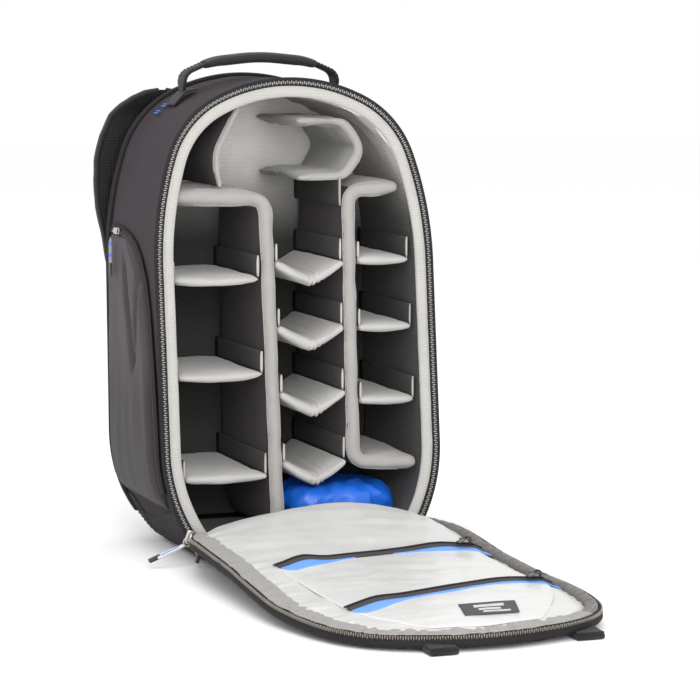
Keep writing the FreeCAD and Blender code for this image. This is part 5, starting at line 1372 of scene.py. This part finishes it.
def strap_mesh(side):
    """Air-mesh shoulder strap behind the back panel, its edges bound, its top turned in to the bag."""
    z = np.concatenate([np.linspace(200, 448, 90), np.linspace(449, 471, 34)])
    left, right = ramp(z, LEFT_EDGE), ramp(z, RIGHT_EDGE)
    left = left + 1.2 * ripple(np.column_stack([z, 0 * z, 0 * z]), 30.0, 2.0)
    u = np.linspace(0, 1, 26)
    x = left[:, None] * (1 - u) + right[:, None] * u
    turn_in = smooth(z, 442.0, 471.0)
    front = strap_y(z) - turn_in * (STAND_OFF - 1.0)
    round_edge = np.sqrt(np.clip(1 - np.abs(2 * u - 1) ** 6, 0, 1))
    half = STRAP_THICK / 2 * round_edge[None, :] * (1 - 0.35 * turn_in)[:, None]
    centre = (front + STRAP_THICK / 2)[:, None]
    ends_fade = np.minimum(1.0, (z - 199) / 5)[:, None] ** 0.5
    grid_x = np.hstack([x, x[:, ::-1]])
    quilting = 0.5 * np.cos((z[:, None] - 200) / 18.0) * round_edge[None, :]
    grid_y = np.hstack([centre - half * ends_fade, (centre + (half + quilting) * ends_fade)[:, ::-1]])
    points = np.stack([side * -grid_x, grid_y, np.broadcast_to(z[:, None], grid_x.shape)], axis=2)
    around = points.shape[1]
    faces = grid_faces(len(z), around, wrap=True)
    faces += [tuple(range(around)), tuple(range((len(z) - 1) * around, len(z) * around))]
    borders = []
    for edge in (left, right):
        path = resample(np.column_stack([side * -edge, front + STRAP_THICK / 2, z]), 160)
        borders.append(tube(path, REARWARDS, oval(4.4, 9.0, 14, 2.6)))
    return (points.reshape(-1, 3), faces), borders


strap_parts, border_parts = [], []
for side in (-1, 1):
    body_mesh, borders = strap_mesh(side)
    strap_parts.append(body_mesh)
    border_parts += borders
straps = piece("shoulder_strap_pads", *join(strap_parts), MESH_PAD, "bag", "air_mesh",
               replaces=["shoulder_straps"])
piece("shoulder_strap_binding", *join(border_parts), GRIP, "bag", "webbing")
strap_webs = []
z = np.linspace(214, 440, 120)
centre_x = (ramp(z, LEFT_EDGE) + ramp(z, RIGHT_EDGE)) / 2
for side in (-1, 1):
    path = np.column_stack([side * -centre_x, strap_y(z) + STRAP_THICK + 0.9, z])
    strap_webs.append(tube(path, REARWARDS, oval(20.0, 1.8, 16, 5.0)))
    for level in range(8, 112, 14):
        bar = path[level:level + 2] + REARWARDS
        strap_webs.append(row_of(bar, REARWARDS, 3.0, (2.2, 16.0, 0.8), 0.2))
piece("shoulder_strap_webbing", *join(strap_webs), WEBBING, "bag", "webbing")

# lower webbings, from the base up to the ladder buckles
WEB_X = 110.5
lower_parts, buckle_parts = [], []
run = rounded([(back_y(62) + 1.3, 62, 0), (back_y(82) + 1.3, 82, 30),
               (back_y(140) + STAND_OFF + 1.0, 140, 40), (back_y(199) + STAND_OFF + 5.0, 199, 0)], 2.0,
              closed=False)
run = resample(run, 90)
ups = np.column_stack([np.zeros(len(run)), np.gradient(run[:, 1]), -np.gradient(run[:, 0])])
low, high = box_of("ladder_buckles")
middle, half_z = (low + high) / 2, (high[2] - low[2]) / 2
for x in (-WEB_X, WEB_X):
    path = np.column_stack([np.full(len(run), x), run])
    lower_parts.append(tube(path, ups, oval(25.0, 2.0, 16, 5.0)))
    lower_parts.append(tube(path[38:70] + 5.0 * REARWARDS, REARWARDS, oval(24.0, 1.8, 16, 5.0)))
    lower_parts.append(row_of(path[2:10] + 1.2 * REARWARDS, REARWARDS, 4.0, (1.6, 20.0, 0.8), 0.2))
    for bar_z, back in ((-half_z + 2.4, 0.0), (-1.5, 0.0), (half_z - 2.4, 1.5)):
        place = np.array([x, middle[1] + back, middle[2] + bar_z])
        bar = np.linspace(place - [15.5, 0, 0], place + [15.5, 0, 0], 14)
        buckle_parts.append(tube(bar, REARWARDS, oval(4.4, 4.2, 12, 2.6)))
    for post in (-15.2, 15.2):
        place = np.array([x + post, middle[1], middle[2]])
        rail = np.linspace(place - [0, 0, half_z - 1.5], place + [0, 0, half_z - 1.5], 14)
        buckle_parts.append(tube(rail, REARWARDS, oval(4.2, 6.0, 12, 2.8)))
piece("lower_webbings", *join(lower_parts), WEBBING, "bag", "webbing", replaces=["strap_webbings"])
piece("ladder_buckle_frames", *join(buckle_parts), PLASTIC, "bag", "buckle_plastic",
      replaces=["ladder_buckles"])


# sternum strap
def across_chest(box, low_x, high_x, count, back=0.0):
    """Evenly spaced points from side to side through the middle of a box."""
    y, z = (box[0] + box[1])[1:] / 2
    return np.linspace((low_x, y + back, z), (high_x, y + back, z), count)


web = box_of("sternum_webbing")
run = across_chest(web, web[0][0] + 0.5, web[1][0] - 0.5, 90)
sternum_parts = [tube(run, REARWARDS, oval(20.0, 1.9, 16, 5.0))]
for centre in (-90.0, 90.0):
    ring = across_chest(web, centre - 6, centre + 6, 8, 2.0)
    sternum_parts.append(tube(ring, REARWARDS, oval(24.0, 2.6, 16, 4.0)))
piece("sternum_strap_webbing", *join(sternum_parts), WEBBING, "sternum_strap", "webbing",
      replaces=["sternum_webbing"])
clip = box_of("sternum_buckle")
clip_left, clip_right = clip[0][0], clip[1][0]
shell_size = np.column_stack([0.86 + 0.14 * np.sin(np.linspace(0.6, 2.6, 20)), np.linspace(0.85, 1.0, 20)])
socket = across_chest(clip, clip_left + 1, clip_right - 14, 20)
tongue = across_chest(clip, clip_right - 15, clip_right - 0.5, 12)
buckle = [tube(socket, REARWARDS, oval(25.0, 6.6, 20, 3.4), scale=shell_size),
          tube(tongue, REARWARDS, oval(21.0, 4.4, 18, 3.0))]
for side in (-1, 1):
    arm = across_chest(clip, clip_right - 24, clip_right - 3, 12, 0.4)
    arm[:, 2] += side * (11.4 - 1.6 * np.linspace(-1, 1, 12) ** 2)
    buckle.append(tube(arm, REARWARDS, oval(3.0, 4.0, 10)))
piece("sternum_clip", *join(buckle), PLASTIC, "sternum_strap", "buckle_plastic", replaces=["sternum_buckle"])

# blue stitches beside the handle and on the left pocket
loop_parts = []
sewn = resample(gusset_line[(gx < -90) & (gx > -116) & (gz > 400)], 20)
for x, z in (sewn[4], sewn[10]):
    outer = unit((x, 0.0, z - 330.0))
    for shift in (-1.6, 1.6):
        path = np.linspace((x, 160.0, z), (x, 173.0, z), 8) + outer + np.cross(outer, REARWARDS) * shift
        loop_parts.append(tube(path, outer, oval(1.5, 1.0, 8)))
tack = np.linspace((-151.6, 136.0, 316.0), (-151.6, 146.0, 316.0), 6)
loop_parts.append(tube(tack, [-1, 0, 0], oval(3.4, 1.8, 10)))
piece("blue_bartacks", *join(loop_parts), BLUE_CORD, "bag", "blue_fabric")

# ---------------------------------------------------------------- zip sliders and pulls
def basis(ahead, up):
    """Three unit axes: ahead, to the side and up."""
    ahead, up = unit(ahead), unit(up)
    side = unit(np.cross(up, ahead))
    return np.stack([ahead, side, unit(np.cross(ahead, side))])


def slider(place, ahead, up, scale=1.0):
    """Zip slider: two waisted plates, a post between them, and a bridge for the pull."""
    axes = basis(ahead, up)
    place = np.asarray(place, float)
    parts = []
    s = np.linspace(-6.0, 6.0, 18)
    width = 7.4 - 1.8 * smooth(s, -1.0, 6.0) - 0.8 * np.exp(-((s + 1) / 2.4) ** 2)
    width = width * np.sqrt(np.clip(1 - (np.abs(s) / 6.4) ** 8, 0.02, 1))
    for level, thick in ((0.6, 1.1), (3.1, 1.2)):
        path = place + scale * (s[:, None] * axes[0] + level * axes[2])
        parts.append(tube(path, axes[2], oval(1.0, scale * thick, 14, 3.0),
                          scale=np.column_stack([width * scale, np.ones(len(s))])))
    post = place + scale * (np.array([[3.4, 0, 0.6], [3.4, 0, 3.0]]) @ axes)
    parts.append(tube(resample(post, 4), axes[0], oval(2.6 * scale, 1.6 * scale, 10)))
    angle = np.linspace(0, math.pi, 14)
    arc = np.column_stack([-3.6 * np.cos(angle), 0 * angle, 3.2 + 2.0 * np.sin(angle)])
    parts.append(tube(place + scale * (arc @ axes), axes[1], oval(1.1 * scale, 2.0 * scale, 10)))
    return join(parts)


def tag(place, ahead, up, length, width, thick):
    """Flat pull: a long loop of metal that narrows towards the slider."""
    axes = basis(ahead, up)
    half = width / 2
    loop = rounded([(0.0, -half * 0.55, 1.2), (length, -half, half * 0.8), (length, half, half * 0.8),
                    (0.0, half * 0.55, 1.2)], 0.5)
    loop = resample(loop, 60, closed=True)
    path = np.asarray(place) + loop[:, 0:1] * axes[0] + loop[:, 1:2] * axes[1]
    ring_part = tube(path, axes[2], oval(1.5, thick, 10), closed=True)
    plate = np.asarray(place) + np.linspace(length * 0.42, length - 1.0, 12)[:, None] * axes[0]
    return join([ring_part, tube(plate, axes[2], oval(width - 1.6, thick * 0.6, 12, 4.0))])


def moving(node, mesh, look, slot):
    """Small rigid piece that stands for its CAD node and rides on the body of the same name."""
    return piece(node + "_metal", *mesh, look, node, slot, replaces=[node])


# lid zips: a slider near the right end of each
for name, (_, _, turn, _) in ZIPS.items():
    ends_x, ends_y = zip_line(name, 0.0, 3, 0.90, 0.94)
    place = on_lid(ends_x[1], ends_y[1], 4.4)
    rise = on_lid(ends_x[2], ends_y[2], 4.4) - on_lid(ends_x[0], ends_y[0], 4.4)
    moving(name + "_lid_slider", slider(place, rise, UP, 1.3), DARK_METAL, "slider_metal")
    droop = turn + math.radians(-150.0)
    lean = np.array([math.cos(droop), math.sin(droop), -0.05])
    moving(name + "_lid_pull", tag(place + UP * 5.4, lean, UP, 21.0, 6.0, 1.5), DARK_METAL, "slider_metal")

# main zip: two sliders at the left hinge corner, a braided cord pull and a dark one
main = []
for x, z, ahead in ((-126.0, 29.0, (0.28, 0.0, 1.0)), (-114.0, 15.5, (0.8, -0.1, 0.5))):
    main.append(slider((x, front_y(z) - 2.4, z), ahead, (0, -1, 0.1), 1.15))
angle = np.linspace(0, 2 * math.pi, 30, endpoint=False)
ring = np.column_stack([4.2 * np.cos(angle), 0 * angle, 4.2 * np.sin(angle)]) + [-128.6, -6.0, 24.5]
main.append(tube(ring, FORWARDS, oval(1.6, 1.6, 10), closed=True))
piece("main_sliders_metal", *join(main), METAL, "bag", "slider_metal", replaces=["main_zip_sliders"])

low, high = box_of("main_pull_silver")
middle = (low + high) / 2
start = np.array([high[0] - 2.0, middle[1], high[2] - 1.5])
end = np.array([low[0] + 4.0, middle[1], low[2] + 3.0])
ahead = unit(end - start)
lift = unit(np.cross(ahead, REARWARDS))
lift = lift if lift[2] > 0 else -lift
length = float(np.linalg.norm(end - start))
loop = rounded([(0.0, -1.4, 1.2), (length - 9, -3.8, 3.0), (length - 9, 3.8, 3.0), (0.0, 1.4, 1.2)], 0.4)
loop = resample(loop, 90, closed=True)
cord = start + loop[:, 0:1] * ahead + loop[:, 1:2] * REARWARDS
plait = np.column_stack([1 + 0.10 * np.sin(np.arange(90) * 2.1)] * 2)
moving("main_pull_silver", tube(cord, lift, oval(3.4, 3.4, 12), closed=True, scale=plait), SILVER,
       "silver_cord")
piece("silver_pull_stripe", *tube(cord[8:38] + lift * 1.5, lift, oval(1.8, 1.1, 8)), BLUE_CORD,
      "main_pull_silver", "blue_fabric")
tip = start + np.linspace(length - 12, length, 14)[:, None] * ahead
tip_size = np.linspace((0.72, 0.9), (1.0, 0.8), 14)
piece("silver_pull_end", *tube(tip, lift, oval(8.4, 5.0, 16, 3.0), scale=tip_size), PLASTIC,
      "main_pull_silver", "dark_pull")

low, high = box_of("main_pull_dark")
middle = (low + high) / 2
hang = np.linspace((high[0] - 1.6, middle[1], high[2]), (low[0] + 1.6, middle[1], low[2] + 1.0), 18)
widening = smooth(np.arange(18), 2, 9)
dark_sizes = np.column_stack([0.55 + 0.45 * widening, 0.7 + 0.3 * widening])
moving("main_pull_dark", tube(hang, [-1, 0, 0.1], oval(6.6, 3.6, 16, 3.0), scale=dark_sizes), PLASTIC,
       "dark_pull")

# side pockets: slider, hanging striped pull
SLIDER_PLACE = np.array([152.2, 158.0, 327.0])
CORD_END, STRIPE = 13.0, 4.0        # length of the cord's dark end, and of a stripe on it
pocket_sliders = []
for side, node in ((-1, "left_pocket_pull"), (1, "right_pocket_pull")):
    pocket_sliders.append(slider([side, 1, 1] * SLIDER_PLACE, (0, 1, 0), (side, 0, 0)))
    low, high = box_of(node)
    x, y = (low + high)[:2] / 2
    path = np.linspace((x, y, high[2] - 0.5), (x, y, low[2] + 0.5), 40)
    width = 0.5 + 0.5 * smooth(np.arange(40), 1, 5) + 0.06 * np.sin(np.arange(40) * 1.9)
    points, faces = tube(path, [side, 0, 0], oval(5.6, 2.7, 14, 3.0), scale=np.column_stack([width, width]))
    heights = middles_of(points, faces)[:, 2]
    shown = [2 if z < low[2] + CORD_END else int((z // STRIPE) % 3 == 0) for z in heights]
    piece(node + "_cord", points, faces, [LID_BINDING, BLUE_CORD, PLASTIC], node, "silver_cord", shown=shown,
          replaces=[node])
piece("pocket_sliders_metal", *join(pocket_sliders), METAL, "bag", "slider_metal",
      replaces=["side_pocket_sliders"])
